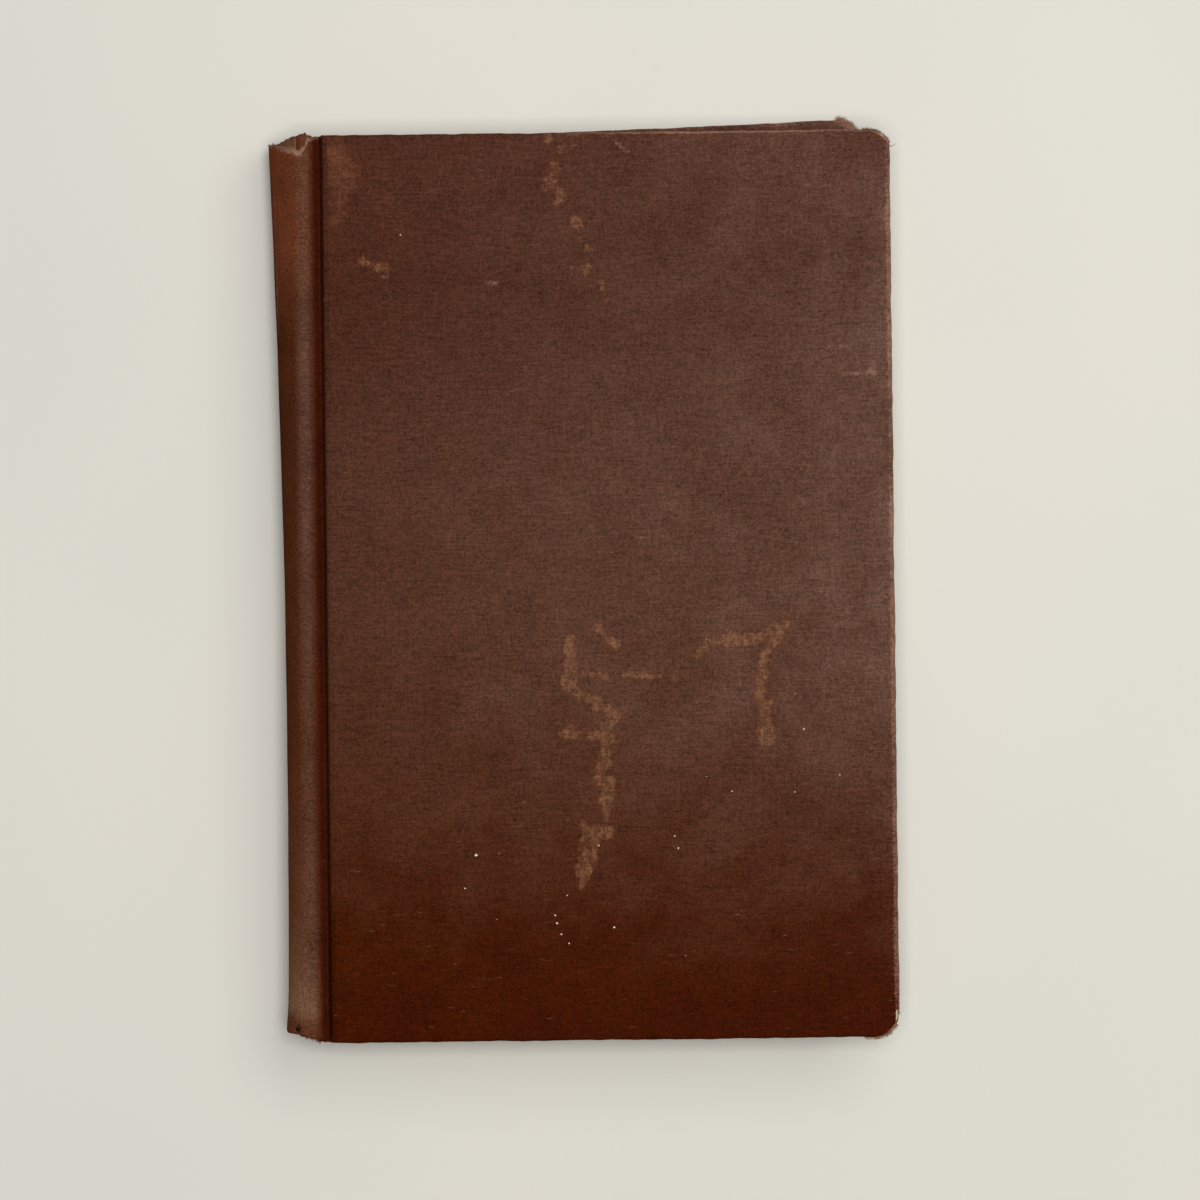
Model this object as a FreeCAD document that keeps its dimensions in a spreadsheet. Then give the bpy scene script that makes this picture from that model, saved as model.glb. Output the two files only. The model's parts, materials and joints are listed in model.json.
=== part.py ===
import FreeCAD, Part

import math
import os

import Sketcher
from FreeCAD import Placement, Rotation, Vector

# A worn case-bound book lying closed on its rear cover.
# Frame: +X from the spine to the fore-edge, +Y from tail to head, +Z up.
# The origin is on the table, under the middle of the front cover.
# The book is cocked: its rear cover, and the leaves with it, are slewed about the joint.

# Driving dimensions: name, value in millimetres or degrees, meaning.
SIZES = (
    ("cover_height", 197.0, "a cover from tail to head, over its cloth"),
    ("cover_width", 123.3, "a cover from the joint to the fore-edge, over its cloth"),
    ("book_thickness", 26.0, "outer face to outer face of the closed covers"),
    ("board_thickness", 2.3, "binder's board"),
    ("cloth_thickness", 0.35, "book cloth with its glue"),
    ("paper_thickness", 0.2, "endpaper"),
    ("super_thickness", 0.25, "gauze glued over the back of the leaves"),
    ("lining_thickness", 0.2, "kraft paper glued over the gauze"),
    ("inlay_thickness", 0.4, "card strip inside the cloth of the spine"),
    ("sheet_gap", 0.05, "room between two sheets that lie on each other"),
    ("hollow_gap", 0.15, "air in the hollow back, past the turned-in cloth"),
    ("cover_clearance", 0.2, "air between a pastedown and its flyleaf"),
    ("turn_in", 15.0, "cloth folded over on to the inside of a board"),
    ("pastedown_margin", 3.2, "turned-in cloth left showing round a pastedown"),
    ("dip_margin", 1.2, "from the turned-in cloth to the dip in a pastedown"),
    ("corner_wear", 4.0, "radius of a rubbed fore-edge corner"),
    ("edge_wear", 0.6, "rounding of the cloth along a board's edges"),
    ("slew", 1.95, "degrees that the rear cover is turned against the front one"),
    ("lean", 1.8, "rear cover set back towards the spine against the front one"),
    ("square", 3.2, "cover standing out past the leaves at head and tail"),
    ("fore_square", 3.6, "cover standing out past the leaves at the fore-edge"),
    ("fore_edge_hollow", 2.2, "depth of the hollow in the fore-edge of the leaves"),
    ("flyleaf_tuck", 1.5, "flyleaf carried past the joint towards the shoulder"),
    ("shoulder_radius", 0.7, "radius of the shoulder that the leaves are backed to"),
    ("ridge_drop", 0.4, "crest of the cloth's ridge below the cover's outer face"),
    ("groove_floor", 0.45, "flat width at the bottom of the joint's groove"),
    ("groove_radius", 0.8, "radius from the groove's floor to its wall"),
    ("groove_angle", 60.0, "degrees that the groove's wall slopes"),
    ("joint_gap", 0.15, "between the groove's cloth and the cover's joint edge"),
    ("round_tail", 3.8, "depth of the spine's round at the tail"),
    ("round_middle", 2.0, "depth of the spine's round half way up"),
    ("round_head", 2.4, "depth of the spine's round at the head"),
    ("super_flange", 25.0, "gauze glued to the inside of a board"),
    ("super_short", 12.0, "gauze short of the leaves at head and tail"),
    ("lining_short", 2.0, "kraft paper short of the leaves at head and tail"),
    ("spine_turn_in", 15.0, "cloth folded in behind the card strip of the spine"),
    ("cap_wear", 2.6, "spine cloth rubbed away at the head"),
    ("spine_span", 10.0, "longest straight run along the spine's twisted surfaces"),
    ("cap_wear_inset", 2.0, "from the shoulders to the rubbed part of the head"),
)

doc = FreeCAD.newDocument("hardback_book")
sheet = doc.addObject("Spreadsheet::Sheet", "sizes")
for row, (alias, value, meaning) in enumerate(SIZES, start=1):
    sheet.set(f"A{row}", alias)
    sheet.set(f"B{row}", str(value))
    sheet.setAlias(f"B{row}", alias)
    sheet.set(f"C{row}", meaning)
doc.recompute()


def size(alias):
    """One driving dimension, as a plain number."""
    return float(sheet.get(alias))


# Depths inside a cover, from its outer face, as expressions for the sketches and pads.
BOARD_FACE = "sizes.cloth_thickness"
INNER_FACE = "(sizes.cloth_thickness + sizes.board_thickness)"
CASE_FACE = "(2 * sizes.cloth_thickness + sizes.board_thickness)"
PASTED_FACE = "(2 * sizes.cloth_thickness + sizes.board_thickness + sizes.sheet_gap)"
FLYLEAF_FACE = (
    "(2 * sizes.cloth_thickness + sizes.board_thickness + sizes.sheet_gap"
    " + sizes.paper_thickness + sizes.cover_clearance)"
)

# The same depths as numbers, for the pieces that cross the back of the book.
case_depth = 2 * size("cloth_thickness") + size("board_thickness")
cover_depth = case_depth + size("sheet_gap") + size("paper_thickness")
leaf_depth = cover_depth + size("cover_clearance") + size("paper_thickness")

# Layers in the groove, from the leaves out to the cloth.
super_floor = leaf_depth - size("paper_thickness") - size("sheet_gap")
cloth_floor = super_floor - size("super_thickness") - size("sheet_gap")
groove_depth = cloth_floor - size("cloth_thickness")

# Layers over the back, from the cloth in to the leaves.
inlay_layer = size("cloth_thickness") + size("sheet_gap")
turn_layer = inlay_layer + size("inlay_thickness") + size("sheet_gap")
lining_layer = turn_layer + size("cloth_thickness") + size("hollow_gap")
super_layer = lining_layer + size("lining_thickness") + size("sheet_gap")
leaf_layer = super_layer + size("super_thickness") + size("sheet_gap")

half_height = size("cover_height") / 2
half_leaves = half_height - size("square")
leaf_width = size("cover_width") - size("fore_square")
joint_edge = -size("cover_width") / 2
slew = math.radians(size("slew"))
wall_angle = math.radians(size("groove_angle"))
ridge_radius = size("shoulder_radius") + leaf_layer
SIDES = ("front", "rear")

# Each cover is drawn from the middle of its joint edge, outer face down, and then placed:
# the rear one as drawn, set back and slewed, and the front one turned over on top.
PLACES = {
    "rear": Placement(
        Vector(joint_edge - size("lean"), 0, 0), Rotation(Vector(0, 0, 1), size("slew"))
    ),
    "front": Placement(
        Vector(joint_edge, 0, size("book_thickness")), Rotation(Vector(1, 0, 0), 180)
    ),
}


def bind(sketch, constraint, name, expression):
    """Adds a named constraint that follows an expression."""
    index = sketch.addConstraint(constraint)
    sketch.renameConstraint(index, name)
    sketch.setExpression(f"Constraints.{name}", expression)


def rectangle(body, name, height, near, far, tall):
    """A rectangle centred on the X axis, `height` above the body's own XY plane.

    near and far are its distances from the joint edge; near is None on that edge itself.
    """
    sketch = body.newObject("Sketcher::SketchObject", name)
    plane = next(f for f in body.Origin.OriginFeatures if f.Role == "XY_Plane")
    sketch.AttachmentSupport = [(plane, "")]
    sketch.MapMode = "FlatFace"
    sketch.setExpression("AttachmentOffset.Base.z", height)
    corners = [Vector(1, -1, 0), Vector(2, -1, 0), Vector(2, 1, 0), Vector(1, 1, 0)]
    for start, end in zip(corners, corners[1:] + corners[:1]):
        sketch.addGeometry(Part.LineSegment(start, end))
    for side in range(4):
        sketch.addConstraint(Sketcher.Constraint("Coincident", side, 2, (side + 1) % 4, 1))
    sketch.addConstraint(Sketcher.Constraint("Horizontal", 0))
    sketch.addConstraint(Sketcher.Constraint("Horizontal", 2))
    sketch.addConstraint(Sketcher.Constraint("Vertical", 1))
    sketch.addConstraint(Sketcher.Constraint("Symmetric", 0, 1, 2, 2, -1))
    if near is None:
        sketch.addConstraint(Sketcher.Constraint("PointOnObject", 0, 1, -2))
    else:
        bind(sketch, Sketcher.Constraint("DistanceX", -1, 1, 0, 1, 1.0), "near", near)
    bind(sketch, Sketcher.Constraint("DistanceX", -1, 1, 0, 2, 2.0), "far", far)
    bind(sketch, Sketcher.Constraint("DistanceY", 1, 1, 1, 2, 2.0), "tall", tall)
    return sketch


def pad(body, sketch, length):
    """Raises a sketch by an expression."""
    feature = body.newObject("PartDesign::Pad", sketch.Name + "_pad")
    feature.Profile = sketch
    feature.setExpression("Length", length)
    doc.recompute()
    return feature


def pocket(body, sketch, length):
    """Cuts upwards from a sketch, and checks that it took something away."""
    before = body.Shape.Volume
    feature = body.newObject("PartDesign::Pocket", sketch.Name + "_cut")
    feature.Profile = sketch
    feature.Reversed = True
    feature.setExpression("Length", length)
    doc.recompute()
    if feature.Shape.Volume >= before:
        raise RuntimeError(f"{feature.Name} cut nothing")
    return feature


def round_edges(body, name, radius, wanted):
    """Fillets the edges of the body that `wanted` accepts."""
    base = body.Tip
    edges = [f"Edge{i}" for i, edge in enumerate(base.Shape.Edges, start=1) if wanted(edge)]
    feature = body.newObject("PartDesign::Fillet", name)
    feature.Base = (base, edges)
    feature.setExpression("Radius", radius)
    doc.recompute()
    return feature


def stands_at(distance):
    """Accepts the upright edges at one distance from the joint edge."""

    def wanted(edge):
        box = edge.BoundBox
        upright = box.ZLength > max(box.XLength, box.YLength)
        return upright and abs(edge.CenterOfMass.x - distance) < 1e-4

    return wanted


def lies_at(height):
    """Accepts the edges that lie flat at one height."""

    def wanted(edge):
        box = edge.BoundBox
        return abs(box.ZMin - height) < 1e-4 and abs(box.ZMax - height) < 1e-4

    return wanted


def new_body(label, place):
    """An empty body, named and placed."""
    body = doc.addObject("PartDesign::Body", label)
    body.Label = label
    body.Placement = place
    return body


def boolean(kind, label, **inputs):
    """A Part boolean with its inputs set."""
    feature = doc.addObject(f"Part::{kind}", label)
    feature.Label = label
    for name, value in inputs.items():
        setattr(feature, name, value)
    doc.recompute()
    return feature


def make_board(side):
    """Binder's board, a cloth's thickness inside the cover, with its fore-edge corners rubbed."""
    body = new_body(f"{side}_board", PLACES[side])
    outline = rectangle(
        body,
        f"{side}_board_outline",
        BOARD_FACE,
        "sizes.cloth_thickness",
        "sizes.cover_width - sizes.cloth_thickness",
        "sizes.cover_height - 2 * sizes.cloth_thickness",
    )
    pad(body, outline, "sizes.board_thickness")
    far = size("cover_width") - size("cloth_thickness")
    radius = "sizes.corner_wear - sizes.cloth_thickness"
    round_edges(body, f"{side}_board_corners", radius, stands_at(far))
    return body


def make_window(side):
    """The room between a cover's turn-ins, open to the joint."""
    past = size("cloth_thickness")
    start = Vector(-past, -half_height + size("turn_in"), past + size("board_thickness"))
    box = doc.addObject("Part::Box", f"{side}_cloth_window")
    box.setExpression("Length", "sizes.cover_width - sizes.turn_in + sizes.cloth_thickness")
    box.setExpression("Width", "sizes.cover_height - 2 * sizes.turn_in")
    box.setExpression("Height", "2 * sizes.cloth_thickness")
    box.Placement = PLACES[side].multiply(Placement(start, Rotation()))
    return box


def make_cover_cloth(side, board):
    """Book cloth round a board: the outer face, the edges, and the turn-ins on three sides."""
    body = new_body(f"{side}_case", PLACES[side])
    outline = rectangle(
        body, f"{side}_case_outline", "0 mm", None, "sizes.cover_width", "sizes.cover_height"
    )
    pad(body, outline, CASE_FACE)
    round_edges(body, f"{side}_case_corners", "sizes.corner_wear", stands_at(size("cover_width")))
    round_edges(body, f"{side}_case_outer_edge", "sizes.edge_wear", lies_at(0))
    room = boolean("MultiFuse", f"{side}_case_room", Shapes=[board, make_window(side)])
    return boolean("Cut", f"{side}_cover_cloth", Base=body, Tool=room)


def make_pastedown(side):
    """Endpaper over the turn-ins and the gauze, dipping on to the bare board between them."""
    body = new_body(f"{side}_pastedown", PLACES[side])
    sheet_outline = rectangle(
        body,
        f"{side}_pastedown_outline",
        PASTED_FACE,
        "sizes.cloth_thickness",
        "sizes.cover_width - sizes.pastedown_margin",
        "sizes.cover_height - 2 * sizes.pastedown_margin",
    )
    pad(body, sheet_outline, "sizes.paper_thickness")
    dip_height = f"({INNER_FACE} + sizes.sheet_gap)"
    under = rectangle(
        body,
        f"{side}_dip_outside",
        dip_height,
        "sizes.super_flange + sizes.dip_margin",
        "sizes.cover_width - sizes.turn_in - sizes.dip_margin",
        "sizes.cover_height - 2 * (sizes.turn_in + sizes.dip_margin)",
    )
    pad(body, under, "sizes.cloth_thickness")
    inside = rectangle(
        body,
        f"{side}_dip_inside",
        f"{dip_height} + sizes.paper_thickness",
        "sizes.super_flange + sizes.dip_margin + sizes.paper_thickness",
        "sizes.cover_width - sizes.turn_in - sizes.dip_margin - sizes.paper_thickness",
        "sizes.cover_height - 2 * (sizes.turn_in + sizes.dip_margin + sizes.paper_thickness)",
    )
    pocket(body, inside, "sizes.cloth_thickness")
    return body


def make_super_flange(side):
    """The gauze where it is glued to the inside of a board, under the pastedown."""
    body = new_body(f"{side}_super_flange", PLACES[side])
    outline = rectangle(
        body,
        f"{side}_flange_outline",
        INNER_FACE,
        "sizes.cloth_thickness",
        "sizes.super_flange",
        "sizes.cover_height - 2 * (sizes.square + sizes.super_short)",
    )
    pad(body, outline, "sizes.super_thickness")
    return body


def make_flyleaf(side):
    """The free endpaper on the outside of the leaves."""
    tuck = Placement(Vector(-size("flyleaf_tuck"), 0, 0), Rotation())
    body = new_body(f"{side}_flyleaf", PLACES[side].multiply(tuck))
    outline = rectangle(
        body,
        f"{side}_flyleaf_outline",
        FLYLEAF_FACE,
        None,
        "sizes.cover_width - sizes.fore_square + sizes.flyleaf_tuck",
        "sizes.cover_height - 2 * sizes.square",
    )
    pad(body, outline, "sizes.paper_thickness")
    return body


def spot(side, y, out, depth):
    """A point of the section at y: `out` from the joint edge, `depth` below the outer face."""
    if side == "front":
        return Vector(joint_edge + out, y, size("book_thickness") - depth)
    edge = joint_edge - size("lean") - y * math.tan(slew)
    return Vector(edge + out / math.cos(slew), y, depth)


def spine_round(y):
    """Depth of the round at y: a parabola through the three named depths."""
    share = y / half_height
    tail, middle, head = size("round_tail"), size("round_middle"), size("round_head")
    return middle + (head - tail) / 2 * share + ((head + tail) / 2 - middle) * share**2


def unit(vector):
    """The vector's direction."""
    return vector / vector.Length


# The shoulder's centre, from the joint edge and below the outer face. The groove's floor,
# its fillet, its wall and the ridge follow one another from the joint edge.
centre_depth = size("ridge_drop") + ridge_radius
cloth_wall = (groove_depth - centre_depth + ridge_radius * math.cos(wall_angle)) / math.sin(
    wall_angle
)
cloth_fillet = min(size("groove_radius"), 0.8 * cloth_wall / math.tan(wall_angle / 2))
centre_out = -(
    size("joint_gap")
    + size("groove_floor")
    + cloth_fillet * math.tan(wall_angle / 2)
    + cloth_wall * math.cos(wall_angle)
    + ridge_radius * math.sin(wall_angle)
)


def shoulder(side, y):
    """The centre of one shoulder at y."""
    return spot(side, y, centre_out, centre_depth)


def back_centre(y):
    """The centre of the round back at y, from its two shoulders and its depth."""
    front, rear = shoulder("front", y), shoulder("rear", y)
    half_chord = (front - rear).Length / 2
    depth = spine_round(y)
    radius = (half_chord**2 + depth**2) / (2 * depth)
    inward = unit((front - rear).cross(Vector(0, -1, 0)))
    return (front + rear) / 2 + inward * (radius - depth)


def back_arc(y, layer, inset=0.0):
    """The round back of one layer, from the front shoulder to the rear one, as three points."""
    centre = back_centre(y)
    front, rear = (unit(shoulder(side, y) - centre) for side in SIDES)
    radius = (shoulder("front", y) - centre).Length + ridge_radius - layer
    middle = unit(front + rear)
    if inset:
        turn = inset / radius
        span = front.getAngle(middle)
        across = unit(front - middle * front.dot(middle))
        front = middle * math.cos(span - turn) + across * math.sin(span - turn)
        rear = middle * math.cos(span - turn) - across * math.sin(span - turn)
    return [centre + way * radius for way in (front, middle, rear)]


def shoulder_line(side, y, layer, floor):
    """One layer over a shoulder at y: three points of the ridge's arc, and the wall's foot."""
    centre = shoulder(side, y)
    back = unit(centre - back_centre(y))
    out = unit(spot(side, y, 1, 0) - spot(side, y, 0, 0))
    down = unit(spot(side, y, 0, 1) - spot(side, y, 0, 0))
    wall = out * math.sin(wall_angle) - down * math.cos(wall_angle)
    slope = out * math.cos(wall_angle) + down * math.sin(wall_angle)
    radius = ridge_radius - layer
    drop = floor - centre_depth + radius * math.cos(wall_angle)
    ridge = [centre + unit(way) * radius for way in (back, back + wall, wall)]
    return ridge + [ridge[2] + slope * (drop / math.sin(wall_angle))]


def line(start, end):
    """A straight edge."""
    return Part.LineSegment(start, end).toShape()


def arc(points):
    """An arc through three points."""
    return Part.Arc(*points).toShape()


def side_edges(side, y, layer, floor, fillet):
    """One side of a layer, from the end of its groove floor up to the round back."""
    crest, top, wall, foot = shoulder_line(side, y, layer, floor)
    end = spot(side, y, -size("joint_gap"), floor)
    if not fillet:
        return [line(end, foot), line(foot, wall), arc([wall, top, crest])]
    out, slope = unit(end - foot), unit(foot - wall)
    run = fillet * math.tan(wall_angle / 2)
    bend = unit(out - slope)
    middle = foot + bend * (fillet / math.cos(wall_angle / 2) - fillet)
    start, finish = foot + out * run, foot - slope * run
    return [
        line(end, start),
        arc([start, middle, finish]),
        line(finish, wall),
        arc([wall, top, crest]),
    ]


def turned_round(edges):
    """The same run of edges from its other end."""
    return [edge.reversed() for edge in reversed(edges)]


def over_the_back(y, layer, floor, fillet=None):
    """One face of a layer that runs from groove to groove, as edges in order."""
    front, rear = (side_edges(side, y, layer, floor, fillet) for side in SIDES)
    return front + [arc(back_arc(y, layer))] + turned_round(rear)


def ends(edges):
    """The first and the last point of a run of edges."""
    return edges[0].firstVertex(True).Point, edges[-1].lastVertex(True).Point


def closed(outer, inner):
    """A closed wire from the outer face of a layer and its inner face."""
    outer_start, outer_end = ends(outer)
    inner_start, inner_end = ends(inner)
    across, home = line(outer_end, inner_end), line(inner_start, outer_start)
    return Part.Wire(outer + [across] + turned_round(inner) + [home])


def wrap_section(layer, thickness, floor, fillet=None):
    """The section, as a function of y, of a sheet that runs from groove to groove."""

    def section(y):
        outer = over_the_back(y, layer, floor, fillet)
        inner = over_the_back(y, layer + thickness, floor + thickness)
        return closed(outer, inner)

    return section


def strip_section(layer, thickness, inset=0.0):
    """The section, as a function of y, of a sheet that lies on the round back alone."""

    def section(y):
        outer = [arc(back_arc(y, layer, inset))]
        inner = [arc(back_arc(y, layer + thickness, inset))]
        return closed(outer, inner)

    return section


def leaf_section(y):
    """The leaves: backed to two shoulders at the spine, hollow at the fore-edge."""
    front, rear = (shoulder_line(side, y, leaf_layer, leaf_depth) for side in SIDES)
    fore_top, fore_bottom = (spot(side, y, leaf_width, leaf_depth) for side in SIDES)
    hollow = (fore_top + fore_bottom) / 2 - Vector(size("fore_edge_hollow"), 0, 0)
    edges = [
        line(fore_top, front[3]),
        line(front[3], front[2]),
        arc(front[2::-1]),
        arc(back_arc(y, leaf_layer)),
        arc(rear[:3]),
        line(rear[2], rear[3]),
        line(rear[3], fore_bottom),
        arc([fore_bottom, hollow, fore_top]),
    ]
    return Part.Wire(edges)


def loft(name, wires):
    """A solid through closed wires, each kept in the document as a feature of its own."""
    sections = []
    for number, wire in enumerate(wires, start=1):
        feature = doc.addObject("Part::Feature", f"{name}_section_{number}")
        feature.Shape = wire
        sections.append(feature)
    solid = doc.addObject("Part::Loft", name)
    solid.Sections = sections
    solid.Solid = True
    solid.Ruled = True
    doc.recompute()
    return solid


def along_spine(name, section, low, high):
    """A loft between two heights of the spine, in spans short enough to follow its curve."""
    spans = max(1, round((high - low) / size("spine_span")))
    return loft(name, [section(low + (high - low) * step / spans) for step in range(spans + 1)])


def leaf_outline(depth):
    """The leaves seen from the front, at one depth under the front cover.

    Each leaf lies square to its own fore-edge, so the outline turns and shifts from the
    front flyleaf's place to the rear one's through the thickness of the leaves.
    """
    share = (depth - leaf_depth) / (size("book_thickness") - 2 * leaf_depth)
    angle = slew * share
    past = 2 * leaf_depth + size("round_tail") + leaf_layer
    turn = Rotation(Vector(0, 0, 1), math.degrees(angle))
    base = Vector(joint_edge - size("lean") * share, 0, size("book_thickness") - depth)
    near, far = centre_out - past, leaf_width + past
    corners = [(near, -half_leaves), (far, -half_leaves), (far, half_leaves), (near, half_leaves)]
    return Part.makePolygon(
        [base + turn.multVec(Vector(x, y, 0)) for x, y in corners + corners[:1]]
    )


def make_text_block():
    """The leaves as one solid: the section of the back, trimmed at head and tail."""
    reach = half_height + size("square")
    back = along_spine("leaves_section", leaf_section, -reach, reach)
    outlines = [leaf_outline(depth) for depth in (0, size("book_thickness"))]
    trim = loft("leaves_trim", outlines)
    return boolean("Common", "text_block", Base=back, Tool=trim)


def make_spine_cloth():
    """Book cloth over the spine, folded in at head and tail and rubbed through at the head."""
    cloth = size("cloth_thickness")
    outer = wrap_section(0, cloth, groove_depth, cloth_fillet)
    inner = strip_section(turn_layer, cloth)
    fold = strip_section(cloth / 2, turn_layer + cloth / 2)
    pieces = [along_spine("spine_outer", outer, -half_height, half_height)]
    for end, sign in (("tail", -1), ("head", 1)):
        edge = sign * half_height
        for name, section, length in (
            (f"spine_turn_in_{end}", inner, size("spine_turn_in")),
            (f"spine_fold_{end}", fold, cloth),
        ):
            low, high = sorted((edge, edge - sign * length))
            pieces.append(along_spine(name, section, low, high))
    whole = boolean("MultiFuse", "spine_whole", Shapes=pieces)
    rubbed_section = strip_section(-cloth, 2 * cloth + size("sheet_gap"), size("cap_wear_inset"))
    low, high = half_height - size("cap_wear"), half_height + cloth
    rubbed = along_spine("spine_rubbed", rubbed_section, low, high)
    return boolean("Cut", "spine_cloth", Base=whole, Tool=rubbed)


def make_strip(label, section, half_length):
    """A sheet over the back, as long on each side of the middle."""
    feature = along_spine(label, section, -half_length, half_length)
    feature.Label = label
    return feature


parts = [make_text_block(), make_spine_cloth()]
parts.append(
    make_strip(
        "spine_super",
        wrap_section(super_layer, size("super_thickness"), super_floor - size("super_thickness")),
        half_leaves - size("super_short"),
    )
)
parts.append(
    make_strip(
        "spine_lining",
        strip_section(lining_layer, size("lining_thickness")),
        half_leaves - size("lining_short"),
    )
)
parts.append(
    make_strip(
        "spine_inlay",
        strip_section(inlay_layer, size("inlay_thickness")),
        half_height - size("cloth_thickness") - size("sheet_gap"),
    )
)
for side in SIDES:
    board = make_board(side)
    parts += [
        board,
        make_cover_cloth(side, board),
        make_pastedown(side),
        make_super_flange(side),
        make_flyleaf(side),
    ]
doc.recompute()

for item in doc.Objects:
    if any(word in item.State for word in ("Invalid", "Error")):
        raise RuntimeError(f"{item.Name} failed")
for part in parts:
    if part.Shape.isNull() or not part.Shape.isValid():
        raise RuntimeError(f"{part.Label} has no valid shape")

os.makedirs("parts", exist_ok=True)
for part in parts:
    part.Shape.exportStep(os.path.join("parts", f"{part.Label}.step"))
    box = part.Shape.BoundBox
    print(part.Label, len(part.Shape.Solids), round(part.Shape.Volume, 1), box)
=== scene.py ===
"""The looks of a worn, cocked hardback book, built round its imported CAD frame.

Every length inside the classes is in millimetres, in the frame of the CAD part: +X from the
spine to the fore-edge, +Y from tail to head, +Z up. make_sheet() turns them into metres.
"""

from __future__ import annotations

import json
import logging
import math
from dataclasses import dataclass, field
from enum import Enum

import bmesh
import bpy
import numpy as np
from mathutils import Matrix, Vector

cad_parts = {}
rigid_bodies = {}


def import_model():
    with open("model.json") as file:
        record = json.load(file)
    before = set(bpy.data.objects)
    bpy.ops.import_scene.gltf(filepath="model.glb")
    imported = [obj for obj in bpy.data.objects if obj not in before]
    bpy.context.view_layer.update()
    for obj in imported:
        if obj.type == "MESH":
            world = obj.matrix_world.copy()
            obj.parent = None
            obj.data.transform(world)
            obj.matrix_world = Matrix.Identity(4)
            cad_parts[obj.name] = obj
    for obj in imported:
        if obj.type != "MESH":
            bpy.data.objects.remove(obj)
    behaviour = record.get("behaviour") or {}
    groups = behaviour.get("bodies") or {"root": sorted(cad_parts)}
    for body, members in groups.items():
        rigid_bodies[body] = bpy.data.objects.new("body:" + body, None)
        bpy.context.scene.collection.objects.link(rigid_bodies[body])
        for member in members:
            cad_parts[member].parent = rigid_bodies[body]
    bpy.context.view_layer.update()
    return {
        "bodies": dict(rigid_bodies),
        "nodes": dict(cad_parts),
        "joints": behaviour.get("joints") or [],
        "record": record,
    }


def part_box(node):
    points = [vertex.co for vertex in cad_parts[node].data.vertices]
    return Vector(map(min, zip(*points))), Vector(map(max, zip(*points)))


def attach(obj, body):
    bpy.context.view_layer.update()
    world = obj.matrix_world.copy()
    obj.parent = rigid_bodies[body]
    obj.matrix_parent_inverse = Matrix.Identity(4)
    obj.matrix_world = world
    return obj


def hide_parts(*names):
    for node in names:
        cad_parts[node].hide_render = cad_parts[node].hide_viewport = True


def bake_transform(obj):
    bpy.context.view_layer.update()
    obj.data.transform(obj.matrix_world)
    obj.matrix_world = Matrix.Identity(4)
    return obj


LOG = logging.getLogger("book")
MM = 0.001

# Shares of the CAD cloth's thickness that the dressed cloth has, so that it stays inside it.
CLOTH_SHOWN = 0.94
HIDDEN_CLOTH_SHOWN = 0.9

Colour = tuple[float, float, float, float]
Ramp = tuple[tuple[float, Colour], ...]
Spot = tuple[float, float]
Direction = tuple[float, float, float]
Socket = bpy.types.NodeSocket


class Side(Enum):
    """The two covers of the book. The value starts the name of each of their CAD nodes."""

    FRONT = "front"
    REAR = "rear"

    @property
    def body(self) -> str:
        """The CAD body of this cover."""
        return f"{self.value}_cover"


class Stretch(Enum):
    """The stretches of a layer that runs from a groove on to the round back."""

    FILLET = "fillet"
    WALL = "wall"
    RIDGE = "ridge"
    BACK = "back"


# Mesh tools


def grid_quads(rows: int, cols: int) -> np.ndarray:
    """Quads of a grid of vertices that run row by row.

    Args:
        rows: number of rows.
        cols: vertices in a row.

    Returns:
        One row of four vertex numbers for each quad.
    """
    first = np.arange(rows - 1)[:, None] * cols + np.arange(cols - 1)[None, :]
    return np.stack([first, first + 1, first + cols + 1, first + cols], -1).reshape(-1, 4)


def tube_faces(count: int, rows: int, sides: int) -> list[list[int]]:
    """Faces of tubes that follow one another, each made of closed rings and two caps.

    Args:
        count: number of tubes.
        rows: rings of each tube.
        sides: vertices of a ring.

    Returns:
        The vertex numbers of each face.
    """
    row, col = np.arange(rows - 1)[:, None] * sides, np.arange(sides)[None, :]
    after = (col + 1) % sides
    quads = np.stack([row + col, row + after, row + sides + after, row + sides + col], -1)
    base = np.arange(count)[:, None] * rows * sides
    quads = (quads.reshape(1, -1, 4) + base[..., None]).reshape(-1, 4)
    first = base + np.arange(sides)[None, ::-1]
    last = base + (rows - 1) * sides + np.arange(sides)[None, :]
    return quads.tolist() + first.tolist() + last.tolist()


def add_mark(mesh: bpy.types.Mesh, name: str, values: np.ndarray) -> None:
    """Keeps one value for each vertex as a float attribute of the mesh."""
    attribute = mesh.attributes.new(name, "FLOAT", "POINT")
    attribute.data.foreach_set("value", np.asarray(values, np.float32).ravel())


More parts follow.
